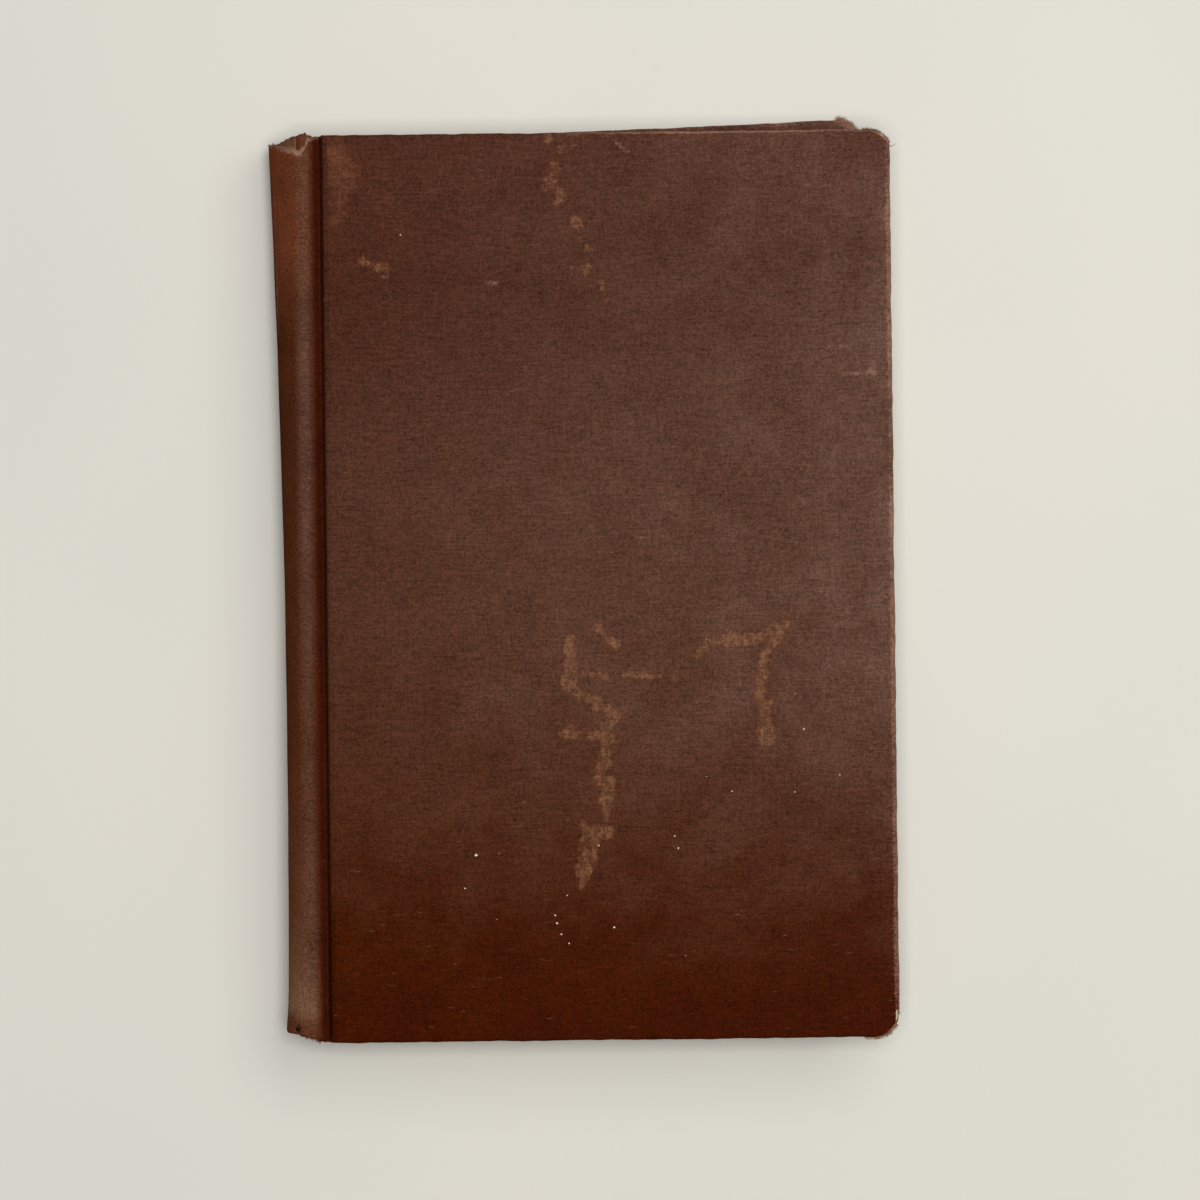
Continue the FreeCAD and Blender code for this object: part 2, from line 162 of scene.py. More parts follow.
def make_sheet(
    name: str,
    points: np.ndarray,
    faces: np.ndarray | list[list[int]],
    outward: Direction | None = None,
    thickness: float = 0.0,
    marks: dict[str, np.ndarray] | None = None,
    smooth: float = 50.0,
) -> bpy.types.Object:
    """Makes a mesh object from points in millimetres, with its faces all turned one way.

    Args:
        name: name of the piece.
        points: vertices, one row each.
        faces: vertex numbers of each face.
        outward: direction in which the middle face has to look, or None for a closed shell.
        thickness: how far a Solidify modifier thickens the sheet inwards; 0 for none.
        marks: values at the vertices, each kept as a float attribute.
        smooth: edges that turn by more than this many degrees stay sharp.

    Returns:
        The new object, at the origin.
    """
    mesh = bpy.data.meshes.new(name)
    lists = faces.tolist() if isinstance(faces, np.ndarray) else faces
    mesh.from_pydata((points * MM).tolist(), [], lists)
    for mark, values in (marks or {}).items():
        add_mark(mesh, mark, values)
    work = bmesh.new()
    work.from_mesh(mesh)
    bmesh.ops.recalc_face_normals(work, faces=work.faces)
    if outward is not None:
        work.faces.ensure_lookup_table()
        probe = work.faces[len(work.faces) // 2]
        if sum(a * b for a, b in zip(probe.normal, outward)) < 0:
            bmesh.ops.reverse_faces(work, faces=work.faces)
    work.to_mesh(mesh)
    work.free()
    mesh.polygons.foreach_set("use_smooth", np.ones(len(mesh.polygons), bool))
    mesh.set_sharp_from_angle(angle=math.radians(smooth))
    piece = bpy.data.objects.new(name, mesh)
    bpy.context.scene.collection.objects.link(piece)
    if thickness:
        wall = piece.modifiers.new("thickness", "SOLIDIFY")
        wall.thickness = thickness * MM
        wall.offset = -1.0
        wall.use_rim = True
    return piece


def weld(piece: bpy.types.Object, reach: float = 1e-6, least: float = 1e-7) -> None:
    """Merges the vertices that patches share, and drops the faces without any area.

    Args:
        piece: the mesh object.
        reach: vertices nearer than this many metres are merged.
        least: edges shorter than this many metres are dissolved.
    """
    work = bmesh.new()
    work.from_mesh(piece.data)
    bmesh.ops.remove_doubles(work, verts=work.verts, dist=reach)
    bmesh.ops.dissolve_degenerate(work, edges=work.edges, dist=least)
    bmesh.ops.recalc_face_normals(work, faces=work.faces)
    work.to_mesh(piece.data)
    work.free()


def hand_over(
    piece: bpy.types.Object, finish: bpy.types.Material, slot: str | None, body: str, *nodes: str
) -> None:
    """Gives a piece its finish, lets it move with a body and stand for CAD nodes, and reports it.

    Args:
        piece: the finished piece.
        finish: its material.
        slot: what the record calls its stuff, or None for what the record leaves out; not used.
        body: the CAD body that carries it.
        nodes: the CAD nodes whose place it takes.
    """
    piece.data.materials.append(finish)
    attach(piece, body)
    if nodes:
        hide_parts(*nodes)
    LOG.info("%s: %d vertices, rides on %s", piece.name, len(piece.data.vertices), body)


def hand_over_bending(
    piece: bpy.types.Object, finish: bpy.types.Material, body: str,
) -> None:
    """Gives a piece its finish, bakes its transform into the mesh, and reports it.

    Args:
        piece: the finished piece.
        finish: its material.
        body: the CAD body of the cover.
    """
    piece.data.materials.append(finish)
    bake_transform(piece)
    LOG.info("%s: %d vertices, bends on to %s", piece.name, len(piece.data.vertices), body)


def waves(rng: np.random.Generator, where: np.ndarray, shortest: float, longest: float) -> np.ndarray:
    """A smooth random height at each place, between about -1 and 1.

    It adds eight sine waves with random directions and with lengths spread evenly from the
    longest to the shortest.

    Args:
        rng: source of the random directions and phases.
        where: places, with their coordinates along the last axis.
        shortest: shortest wave length.
        longest: longest wave length.

    Returns:
        The heights, one for each place.
    """
    total = np.zeros(where.shape[:-1])
    for length in np.geomspace(longest, shortest, 8):
        way = rng.normal(size=where.shape[-1])
        way /= np.linalg.norm(way)
        total += np.sin(where @ way * 2 * math.pi / length + rng.uniform(0, 2 * math.pi))
    return total / 4


def distance_to_run(where: np.ndarray, start: Spot, end: Spot) -> tuple[np.ndarray, np.ndarray]:
    """Distance from each place to a straight run, and the share of the run nearest to it.

    Args:
        where: places on the plane, one row each.
        start: first point of the run.
        end: last point of the run.

    Returns:
        The distances, and the shares from 0 at the start to 1 at the end.
    """
    first, along = np.array(start), np.array(end) - np.array(start)
    share = np.clip((where - first) @ along / max(along @ along, 1e-9), 0, 1)
    return np.linalg.norm(where - first - share[:, None] * along, axis=1), share


@dataclass(frozen=True)
class Stroke:
    """One run of a stain: a capsule that tapers from one radius to another."""

    start: Spot
    end: Spot
    near: float
    far: float

    def distance(self, where: np.ndarray) -> np.ndarray:
        """Distance of each place outside the stroke, below zero inside it."""
        gap, share = distance_to_run(where, self.start, self.end)
        return gap - (self.near + (self.far - self.near) * share)


def nearest(strokes: tuple[Stroke, ...], where: np.ndarray) -> np.ndarray:
    """Distance from each place to the nearest of the strokes, at most 9."""
    return np.minimum.reduce([s.distance(where) for s in strokes] + [np.full(len(where), 9.0)])


# The binding's own geometry


@dataclass(frozen=True)
class Binding:
    """Sizes of the case binding, as in the CAD part."""

    joint_edge: float
    thickness: float
    cover_width: float
    cover_height: float
    slew: float
    board: float = 2.3
    cloth: float = 0.35
    groove_depth: float = 2.75
    leaf_depth: float = 3.65
    ridge_radius: float = 2.6
    centre_depth: float = 3.0
    centre_out: float = -3.9198
    wall_angle: float = math.radians(60)
    lean: float = 1.8
    round_tail: float = 3.8
    round_middle: float = 2.0
    round_head: float = 2.4
    leaf_width: float = 119.7
    half_leaves: float = 95.3
    leaf_layer: float = 1.90
    fore_edge_hollow: float = 2.2

    @classmethod
    def from_frame(cls, frame: dict) -> Binding:
        """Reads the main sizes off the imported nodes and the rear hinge.


        Returns:
            The binding.
        """
        low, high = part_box("front_cover_cloth")
        hinge = next(j for j in frame["joints"] if j["name"] == "rear_cover_hinge")
        slew = math.atan2(-hinge["axis"][0], hinge["axis"][1])
        return cls(
            low.x / MM, high.z / MM, (high.x - low.x) / MM, (high.y - low.y) / MM, slew
        )

    @property
    def half_height(self) -> float:
        """Half of a cover's height."""
        return self.cover_height / 2

    @property
    def case_depth(self) -> float:
        """Depth of the inner face of the turned-in cloth below the outer face."""
        return self.board + 2 * self.cloth

    def on_cover(self, side: Side, out: np.ndarray, up: np.ndarray, depth: np.ndarray) -> np.ndarray:
        """Places points of a cover in the frame.

        The front cover lies square to the frame. The rear one is set back by the lean and
        turned about the middle of its joint edge by the slew.

        Args:
            side: which cover.
            out: distance from the joint edge towards the fore-edge.
            up: distance from the middle towards the head.
            depth: distance below the outer face.

        Returns:
            The points, one row each.
        """
        out, up, depth = np.broadcast_arrays(out, up, depth)
        if side is Side.FRONT:
            return np.stack([self.joint_edge + out, up, self.thickness - depth], -1)
        cos, sin = math.cos(self.slew), math.sin(self.slew)
        edge = self.joint_edge - self.lean
        return np.stack([edge + out * cos - up * sin, out * sin + up * cos, depth], -1)

    def edge_x(self, side: Side, y: np.ndarray, out: float) -> np.ndarray:
        """X of a line that runs alongside a cover's joint edge.

        Args:
            side: which cover.
            y: heights.
            out: the line's distance from the joint edge towards the fore-edge.

        Returns:
            X at each height.
        """
        if side is Side.FRONT:
            return np.full_like(y, self.joint_edge + out)
        edge = self.joint_edge - self.lean
        return edge + out / math.cos(self.slew) - y * math.tan(self.slew)

    def rise(self, y: np.ndarray) -> np.ndarray:
        """Depth of the spine's round: a parabola through the three named depths.

        Args:
            y: heights.

        Returns:
            The depth at each height.
        """
        share = y / self.half_height
        middle = self.round_middle
        drift = (self.round_head - self.round_tail) / 2
        bow = (self.round_head + self.round_tail) / 2 - middle
        return middle + drift * share + bow * share**2

    def back(self, y: np.ndarray) -> dict[str, np.ndarray]:
        """The circle of the round back at y.

        Its centre lies on the perpendicular bisector of the two shoulder centres, inward by
        the radius less the round's depth; the radius is (half chord squared + depth squared)
        over twice the depth.

        Args:
            y: heights.

        Returns:
            Centre, radius and the angles of the front and rear shoulders.
        """
        front = self.edge_x(Side.FRONT, y, self.centre_out)
        rear = self.edge_x(Side.REAR, y, self.centre_out)
        high = np.full_like(y, self.thickness - self.centre_depth)
        low = np.full_like(y, self.centre_depth)
        dx, dz = front - rear, high - low
        chord = np.hypot(dx, dz)
        depth = self.rise(y)
        radius = ((chord / 2) ** 2 + depth**2) / (2 * depth)
        x = (front + rear) / 2 + dz / chord * (radius - depth)
        z = (high + low) / 2 - dx / chord * (radius - depth)
        return {
            "x": x,
            "z": z,
            "radius": radius,
            "front": np.arctan2(high - z, front - x) % (2 * math.pi),
            "rear": np.arctan2(low - z, rear - x) % (2 * math.pi),
        }

    def flank(
        self, side: Side, part: Stretch, y: np.ndarray, share: np.ndarray, layer: np.ndarray,
        floor: np.ndarray, fillet: float,
    ) -> tuple[np.ndarray, np.ndarray]:
        """One stretch of a layer beside the back.

        Heights are worked out as if on the front cover and mirrored for the rear one. The
        ridge is an arc about the shoulder, the wall its tangent at the wall's angle, the
        fillet an arc that touches the wall and the groove's floor.

        Args:
            side: which cover's side.
            part: the fillet, the wall or the ridge.
            y: heights.
            share: 0 at the stretch's end nearest the cover, 1 at the end nearest the back.
            layer: depth of the layer under the cloth's outer face.
            floor: depth of the groove's floor.
            fillet: radius from the floor to the wall.

        Returns:
            X and Z of the points.
        """
        centre = self.edge_x(side, y, self.centre_out)
        radius = self.ridge_radius - layer
        lean = math.pi / 2 - self.wall_angle
        wall_x = centre + radius * math.cos(lean)
        wall_q = -self.centre_depth + radius * math.sin(lean)
        fall = (floor + wall_q) / math.sin(self.wall_angle)
        run = fillet * math.tan(self.wall_angle / 2)
        if part is Stretch.FILLET:
            foot = wall_x + fall * math.cos(self.wall_angle) + run
            turn = 1.5 * math.pi - self.wall_angle * share
            x, q = foot + fillet * np.cos(turn), -floor + fillet + fillet * np.sin(turn)
        elif part is Stretch.WALL:
            drop = (fall - run) * (1 - share)
            x = wall_x + drop * math.cos(self.wall_angle)
            q = wall_q - drop * math.sin(self.wall_angle)
        else:
            circle = self.back(y)
            end = circle["front"] if side is Side.FRONT else 2 * math.pi - circle["rear"]
            turn = lean + (end - lean) * share
            x, q = centre + radius * np.cos(turn), -self.centre_depth + radius * np.sin(turn)
        return x, (self.thickness + q) if side is Side.FRONT else -q

    def round_back(
        self, y: np.ndarray, share: np.ndarray, layer: np.ndarray
    ) -> tuple[np.ndarray, np.ndarray]:
        """The round back of a layer: an arc from the front shoulder to the rear one.

        Args:
            y: heights.
            share: 0 at the front shoulder, 1 at the rear one.
            layer: depth of the layer under the cloth's outer face.

        Returns:
            X and Z of the points.
        """
        circle = self.back(y)
        turn = circle["front"] + (circle["rear"] - circle["front"]) * share
        radius = circle["radius"] + self.ridge_radius - layer
        return circle["x"] + radius * np.cos(turn), circle["z"] + radius * np.sin(turn)

    def over_back(
        self, y: np.ndarray, layer: np.ndarray | float, floor: np.ndarray | float,
        counts: dict[Stretch, int], fillet: float = 0.8,
    ) -> np.ndarray:
        """A layer that runs from groove to groove over the round back.

        Args:
            y: heights, one row for each line along the spine and one column for each station.
            layer: depth of the layer under the cloth's outer face.
            floor: depth of the groove's floor.
            counts: stations in each stretch of one side, and on the back.
            fillet: radius from the floor to the wall.

        Returns:
            The points, as rows by columns by three.
        """
        layer, floor = np.broadcast_to(layer, y.shape), np.broadcast_to(floor, y.shape)
        sides = [part for part in counts if part is not Stretch.BACK]
        stretches = [(Side.FRONT, part) for part in sides] + [(None, Stretch.BACK)]
        stretches += [(Side.REAR, part) for part in reversed(sides)]
        columns, at = [], 0
        for side, part in stretches:
            count = counts[part]
            cols = slice(at, at + count)
            share = (np.arange(count) + 0.5) / count
            if side is None:
                x, z = self.round_back(y[:, cols], share, layer[:, cols])
            else:
                share = share if side is Side.FRONT else share[::-1]
                x, z = self.flank(
                    side, part, y[:, cols], share, layer[:, cols], floor[:, cols], fillet
                )
            columns.append(np.stack([x, y[:, cols], z], -1))
            at += count
        return np.concatenate(columns, 1)


# Materials


def srgb(red: float, green: float, blue: float) -> Colour:
    """Linear values of a screen's colour, by the usual curve of such screens.

    Args:
        red: red on the screen's scale of 0 to 255.
        green: green on the same scale.
        blue: blue on the same scale.

    Returns:
        The linear colour, with alpha 1.
    """
    scaled = np.array([red, green, blue]) / 255
    linear = np.where(scaled <= 0.04045, scaled / 12.92, ((scaled + 0.055) / 1.055) ** 2.4)
    return (*linear.tolist(), 1.0)


class Graph:
    """Short calls for building one material's nodes."""

    def __init__(self, name: str) -> None:
        """Starts a material with its shader.

        Args:
            name: the material's name.
        """
        self.material = bpy.data.materials.new(name)
        self.material.use_nodes = True
        self.tree = self.material.node_tree
        self.shader = self.tree.nodes["Principled BSDF"]

    def add(self, kind: str, inputs: dict | None = None, **settings: object) -> bpy.types.Node:
        """Adds a node.

        Args:
            kind: its type, without the leading ShaderNode.
            inputs: values or sockets for its inputs, by name or number.
            settings: its own properties.

        Returns:
            The node.
        """
        node = self.tree.nodes.new("ShaderNode" + kind)
        for key, value in settings.items():
            setattr(node, key, value)
        for key, value in (inputs or {}).items():
            if isinstance(value, bpy.types.NodeSocket):
                self.tree.links.new(value, node.inputs[key])
            else:
                node.inputs[key].default_value = value
        return node

    def math(self, operation: str, *values: object) -> Socket:
        """A Math node's result."""
        return self.add("Math", dict(enumerate(values)), operation=operation).outputs[0]

    def swing(self, value: Socket, weight: float, base: object) -> Socket:
        """Adds to the base how far the value lies from a half, times the weight."""
        return self.math("MULTIPLY_ADD", self.math("SUBTRACT", value, 0.5), weight, base)

    def attribute(self, name: str) -> Socket:
        """A float attribute of the mesh."""
        return self.add("Attribute", attribute_name=name).outputs["Fac"]

    def place(self, x: float = 1.0, y: float = 1.0, z: float = 1.0) -> Socket:
        """Object coordinates in millimetres.

        Args:
            x: stretch along X.
            y: stretch along Y.
            z: stretch along Z.

        Returns:
            The coordinates.
        """
        source = self.add("TexCoord").outputs["Object"]
        scale = (x / MM, y / MM, z / MM)
        return self.add("Mapping", {"Vector": source, "Scale": scale}).outputs[0]

    def noise(self, where: Socket, scale: float, detail: float = 2.0, rough: float = 0.5) -> Socket:
        """Noise from 0 to 1, with `scale` lumps to a millimetre."""
        inputs = {"Vector": where, "Scale": scale, "Detail": detail, "Roughness": rough}
        return self.add("TexNoise", inputs).outputs["Fac"]

    def span(
        self, value: Socket, low: float, high: float, to_low: float = 0.0, to_high: float = 1.0
    ) -> Socket:
        """Carries a value smoothly from one range on to another.

        Args:
            value: the value.
            low: where its range starts.
            high: where its range ends.
            to_low: what becomes of the start.
            to_high: what becomes of the end.

        Returns:
            The carried value, held within its new range.
        """
        inputs = {
            "Value": value, "From Min": low, "From Max": high, "To Min": to_low, "To Max": to_high
        }
        return self.add("MapRange", inputs, interpolation_type="SMOOTHSTEP").outputs["Result"]

    def mix(self, share: object, first: object, second: object) -> Socket:
        """Mixes two colours: the first at a share of 0, the second at 1."""
        inputs = {0: share, 6: first, 7: second}
        return self.add("Mix", inputs, data_type="RGBA").outputs[2]

    def ramp(self, value: Socket, stops: Ramp) -> Socket:
        """A colour ramp.

        Args:
            value: where on the ramp, from 0 to 1.
            stops: positions and colours, in order.

        Returns:
            The colour.
        """
        node = self.add("ValToRGB", {"Fac": value})
        elements = node.color_ramp.elements
        elements[0].position, elements[0].color = stops[0]
        elements[1].position, elements[1].color = stops[-1]
        for position, colour in stops[1:-1]:
            elements.new(position).color = colour
        return node.outputs["Color"]

    def brighten(self, colour: Socket, factor: object) -> Socket:
        """Multiplies a colour by a number."""
        inputs = {0: colour, "Scale": factor}
        return self.add("VectorMath", inputs, operation="SCALE").outputs[0]

    def bump(self, height: Socket, depth: float, strength: float) -> None:
        """Feeds a height to the shader's normal.

        Args:
            height: the height, from 0 to 1.
            depth: how deep the relief is, in millimetres.
            strength: share of the relief that shows.
        """
        inputs = {"Height": height, "Strength": strength, "Distance": depth * MM}
        node = self.add("Bump", inputs)
        self.tree.links.new(node.outputs[0], self.shader.inputs["Normal"])

    def finish(
        self, colour: Socket, roughness: Socket | float, specular: float = 0.5
    ) -> bpy.types.Material:
        """Feeds the shader.

        Args:
            colour: the base colour.
            roughness: the roughness, a socket or one value for the whole surface.
            specular: level of the gloss.

        Returns:
            The material.
        """
        self.tree.links.new(colour, self.shader.inputs["Base Color"])
        if isinstance(roughness, Socket):
            self.tree.links.new(roughness, self.shader.inputs["Roughness"])
        else:
            self.shader.inputs["Roughness"].default_value = roughness
        self.shader.inputs["Specular IOR Level"].default_value = specular
        return self.material


@dataclass(frozen=True)
class BookCloth:
    """Brown starched book cloth, with the weave's streaks, stains, rubbed edges and fading, and with
    painted sheen, a painted highlight, painted shade in the groove and painted light on the spine's
    back.
    """

    # Base colour from tail to head: partly fading, partly a painted reflection of the lamps, greyer in
    # the middle and darker and redder towards the tail.
    levels: Ramp = (
        (0.0, srgb(60, 16, 0)),
        (0.10, srgb(64, 21, 1)),
        (0.25, srgb(73, 37, 21)),
        (0.42, srgb(78, 45, 31)),
        (0.62, srgb(79, 47, 34)),
        (0.82, srgb(71, 37, 25)),
        (1.0, srgb(75, 40, 28)),
    )
    # Colour over the spine's back: fading, with painted light that lifts the shade on the back, which
    # faces away from the lamps.
    back: Ramp | None = None
    # Colour in the groove: the unfaded cloth with painted shade.
    unfaded_and_groove_shade: Colour = srgb(68, 25, 11)
    # Colour of the painted sheen: the lamps' pale reflection on the face, and a painted highlight on the
    # spine's worn ridge.
    wear_and_sheen: Colour = srgb(172, 144, 128)
    stain: Colour = srgb(134, 92, 64)
    ring: Colour = srgb(72, 30, 16)
    pale: Colour = srgb(168, 134, 112)
    rubbed: Colour = srgb(156, 116, 96)
    russet: Colour = srgb(106, 64, 44)
    dirt: Colour = srgb(28, 12, 6)
    tint: Colour = (1.0, 0.72, 0.58, 1.0)
    drift: float = 0.3
    blotch: float = 0.3
    gloss: float = 0.015
    thread_length: float = 4.5
    thread_pitch: float = 0.42
    weft_depth: float = 1.0
    warp_depth: float = 0.5
    grain_depth: float = 2.6
    relief: float = 0.08

    def build(self, name: str, marked: bool, half_height: float) -> bpy.types.Material:
        """Makes the material.

        The base colour changes from tail to head, for fading and as a painted reflection of the
        lamps, darkest and reddest at the tail; over the spine's back a lighter ramp, for fading and
        as painted light on its shade, takes over. A pale painted sheen, the unfaded cloth by the
        groove with painted shade there, and the stains lie over it, then the threads' and the
        lumps' light and dark, pale scuffs, and the lighter cloth where the edges are rubbed.

        Args:
            name: the material's name.
            marked: whether the mesh has the attributes of the front cover's stains.
            half_height: half of the cover's height, for the change of colour along it.

        Returns:
            The material.
        """
        g = Graph(name)
        long, fine = 1 / self.thread_length, 1 / self.thread_pitch
        weft = g.noise(g.place(long, fine, fine), 1.0, 3.0, 0.65)
        warp = g.noise(g.place(fine, long, fine), 1.0, 2.0, 0.6)
        mottle = g.noise(g.place(), 0.07, 5.0, 0.62)
        grain = g.noise(g.place(), 2.1, 3.0, 0.75)
        up = g.add("SeparateXYZ", {0: g.place()}).outputs["Y"]
        level = g.math("ADD", g.math("DIVIDE", up, 2 * half_height), 0.5)
        level = g.swing(mottle, self.drift, level)
        # Tail-to-head colour: fading together with a painted reflection of the lamps.
        colour = g.ramp(level, self.levels)
        # Over the spine's back: a lighter colour for fading and as painted light on its shade.
        if self.back:
            colour = g.mix(g.attribute("back"), colour, g.ramp(level, self.back))
        # Painted sheen: a pale veil that stands in for the lamps' reflection on the face, and a
        # highlight on the spine's ridge.
        painted_sheen = g.math("MULTIPLY", g.attribute("painted_sheen"), g.span(mottle, 0.3, 0.7, 0.06, 0.13))
        colour = g.mix(painted_sheen, colour, self.wear_and_sheen)
        # Painted shade in the groove, together with the unfaded cloth there.
        colour = g.mix(g.attribute("groove_shade_and_unfaded"), colour, self.unfaded_and_groove_shade)
        if marked:
            colour = self.stains(g, colour, grain)
        light = g.swing(weft, self.weft_depth, 1.0)
        light = g.swing(warp, self.warp_depth, light)
        light = g.swing(mottle, self.blotch, light)
        colour = g.brighten(colour, g.swing(grain, self.grain_depth, light))
        scuff = g.noise(g.place(0.3, 1.6, 1.0), 0.8, 3.0, 0.6)
        colour = g.mix(g.span(scuff, 0.66, 0.8, 0.0, 0.22), colour, self.pale)
        rub = g.swing(mottle, 0.7, g.swing(grain, 0.9, g.attribute("rub")))
        colour = g.mix(g.span(rub, 0.35, 0.95, 0.0, 0.92), colour, self.rubbed)
        threads = g.math("MULTIPLY_ADD", warp, 0.7, weft)
        g.bump(g.math("MULTIPLY_ADD", grain, 0.6, threads), self.relief, 0.8)
        g.shader.inputs["Specular Tint"].default_value = self.tint
        return g.finish(colour, g.span(mottle, 0.2, 0.8, 0.45, 0.6), self.gloss)

    def stains(self, g: Graph, colour: Socket, grain: Socket) -> Socket:
        """Lays the front cover's stains over its colour.

        Each attribute is a distance from the stain's strokes. Noise added to it makes the
        outline ragged, and a smooth step turns it into a share of the stain's colour. Lumps of
        a finer noise break the stain up, and a thin darker ring runs round it.

        Args:
            g: the material's nodes.
            colour: the cloth's colour so far.
            grain: the cloth's fine noise.

        Returns:
            The stained colour.
        """
        patches = g.noise(g.place(), 0.45, 4.0, 0.65)
        lumps = g.noise(g.place(1.0, 0.6, 1.0), 0.9, 4.0, 0.7)
        ragged = g.math("MULTIPLY", g.math("SUBTRACT", patches, 0.5), 4.0)
        ring = g.math("ABSOLUTE", g.math("ADD", g.attribute("trail"), ragged))
        colour = g.mix(g.span(ring, 0.6, 0.0, 0.0, 0.3), colour, self.ring)
        for mark, tint, strength, uneven, soft, wild in (
            ("russet", self.russet, 0.85, 0.6, 2.2, 1.0),
            ("trail", self.stain, 0.62, 0.22, 0.5, 1.0),
            ("pale", self.pale, 0.55, 0.3, 0.5, 0.3),
        ):
            edge = g.math("MULTIPLY_ADD", ragged, wild, g.attribute(mark))
            share = g.math("MULTIPLY", g.span(edge, soft, -soft), strength)
            broken = g.span(lumps, 0.38, 0.66, uneven, 1.0)
            colour = g.mix(g.math("MULTIPLY", share, broken), colour, tint)
        edge = g.swing(grain, 1.2, g.attribute("dirt"))
        return g.mix(g.span(edge, 0.2, -0.2, 0.0, 0.85), colour, self.dirt)


@dataclass(frozen=True)
class Fibre:
    """A plain fibrous stuff: board, card, kraft paper, gauze, endpaper, frayed thread."""

    name: str
    colour: Colour
    second: Colour
    lump: float = 0.8
    stretch: Direction = (1.0, 1.0, 1.0)
    roughness: float = 0.85
    relief: float = 0.08
    specks: Colour | None = None

    def build(self) -> bpy.types.Material:
        """Makes the material: two colours by fibrous noise, with foxing specks where named.

        Returns:
            The material.
        """
        g = Graph(self.name)
        coarse = g.noise(g.place(), 0.06, 4.0, 0.6)
        fibres = g.noise(g.place(*self.stretch), self.lump, 4.0, 0.65)
        share = g.math("ADD", g.math("MULTIPLY", coarse, 0.6), g.math("MULTIPLY", fibres, 0.5))
        colour = g.mix(g.span(share, 0.35, 0.75), self.colour, self.second)
        if self.specks:
            spots = g.noise(g.place(), 0.22, 3.0, 0.5)
            colour = g.mix(g.span(spots, 0.66, 0.74, 0.0, 0.5), colour, self.specks)
        g.bump(fibres, self.relief, 0.7)
        return g.finish(colour, self.roughness, 0.3)


@dataclass(frozen=True)
class LeafEdges:
    """The edges of the leaves: aged paper, darker at the edges, with fine lines between leaves."""

    paper: Colour = srgb(214, 196, 160)
    aged: Colour = srgb(176, 146, 104)
    shadow: Colour = srgb(120, 92, 62)
    lines: float = 170.0

    def build(self) -> bpy.types.Material:
        """Makes the material: blotched paper, with lines that follow the mesh's leaf attribute.

        Returns:
            The material.
        """
        g = Graph("leaf_edges")
        leaf = g.attribute("leaf")
        wobble = g.math("MULTIPLY", g.noise(g.place(), 0.08, 2.0), 0.02)
        lines_at = g.math("MULTIPLY", g.math("ADD", leaf, wobble), self.lines)
        line = g.add("TexNoise", {"W": lines_at, "Scale": 1.0, "Detail": 2.0}, noise_dimensions="1D")
        line = line.outputs["Fac"]
        blotch = g.noise(g.place(), 0.05, 4.0, 0.6)
        colour = g.mix(g.span(blotch, 0.35, 0.7), self.paper, self.aged)
        colour = g.mix(g.span(line, 0.5, 0.28, 0.0, 0.75), colour, self.shadow)
        g.bump(line, 0.12, 0.8)
        return g.finish(colour, 0.9, 0.2)


SPINE_CLOTH = BookCloth(
    levels=(
        (0.0, srgb(84, 44, 24)),
        (0.018, srgb(90, 52, 32)),
        (0.04, srgb(101, 70, 52)),
        (0.10, srgb(85, 53, 37)),
        (0.16, srgb(81, 49, 34)),
        (0.35, srgb(76, 43, 27)),
        (0.59, srgb(87, 55, 43)),
        (0.78, srgb(84, 53, 40)),
        (0.90, srgb(94, 57, 40)),
        (1.0, srgb(88, 54, 36)),
    ),
    # Lighter over the back for fading and as painted light on the shade of the back, which faces away
    # from the lamps.
    back=(
        (0.0, srgb(100, 56, 34)),
        (0.018, srgb(104, 62, 40)),
        (0.04, srgb(138, 100, 74)),
        (0.06, srgb(130, 90, 66)),
        (0.09, srgb(118, 78, 56)),
        (0.15, srgb(106, 62, 42)),
        (0.30, srgb(95, 50, 29)),
        (0.60, srgb(90, 48, 28)),
        (0.78, srgb(86, 44, 25)),
        (0.88, srgb(116, 62, 40)),
        (1.0, srgb(114, 60, 36)),
    ),
    drift=0.08,
    blotch=0.9,
    gloss=0.0,
)
CARD = Fibre("spine_card", srgb(126, 82, 50), srgb(96, 52, 28), relief=0.05)
BOARD = Fibre("binders_board", srgb(206, 190, 160), srgb(168, 148, 116), lump=1.6)
KRAFT = Fibre("kraft_paper", srgb(160, 120, 78), srgb(132, 94, 58), stretch=(1.0, 0.3, 1.0))
GAUZE = Fibre("gauze", srgb(206, 196, 172), srgb(164, 148, 120), lump=2.4, relief=0.2)
ENDPAPER = Fibre(
    "endpaper", srgb(222, 206, 172), srgb(198, 174, 132), lump=1.1, relief=0.02,
    specks=srgb(168, 126, 80),
)
FRAY = Fibre("frayed_thread", srgb(158, 122, 94), srgb(96, 60, 42), lump=2.0)
PALE_FRAY = Fibre("pale_frayed_thread", srgb(206, 172, 148), srgb(150, 106, 84), lump=2.0)
TURNED = Fibre(
    "turned_cloth", srgb(104, 54, 26), srgb(70, 30, 14), lump=1.2, stretch=(0.3, 2.0, 2.0)
)
FLECK = Fibre("paint_fleck", srgb(232, 216, 190), srgb(206, 184, 150), lump=2.0)


# The covers


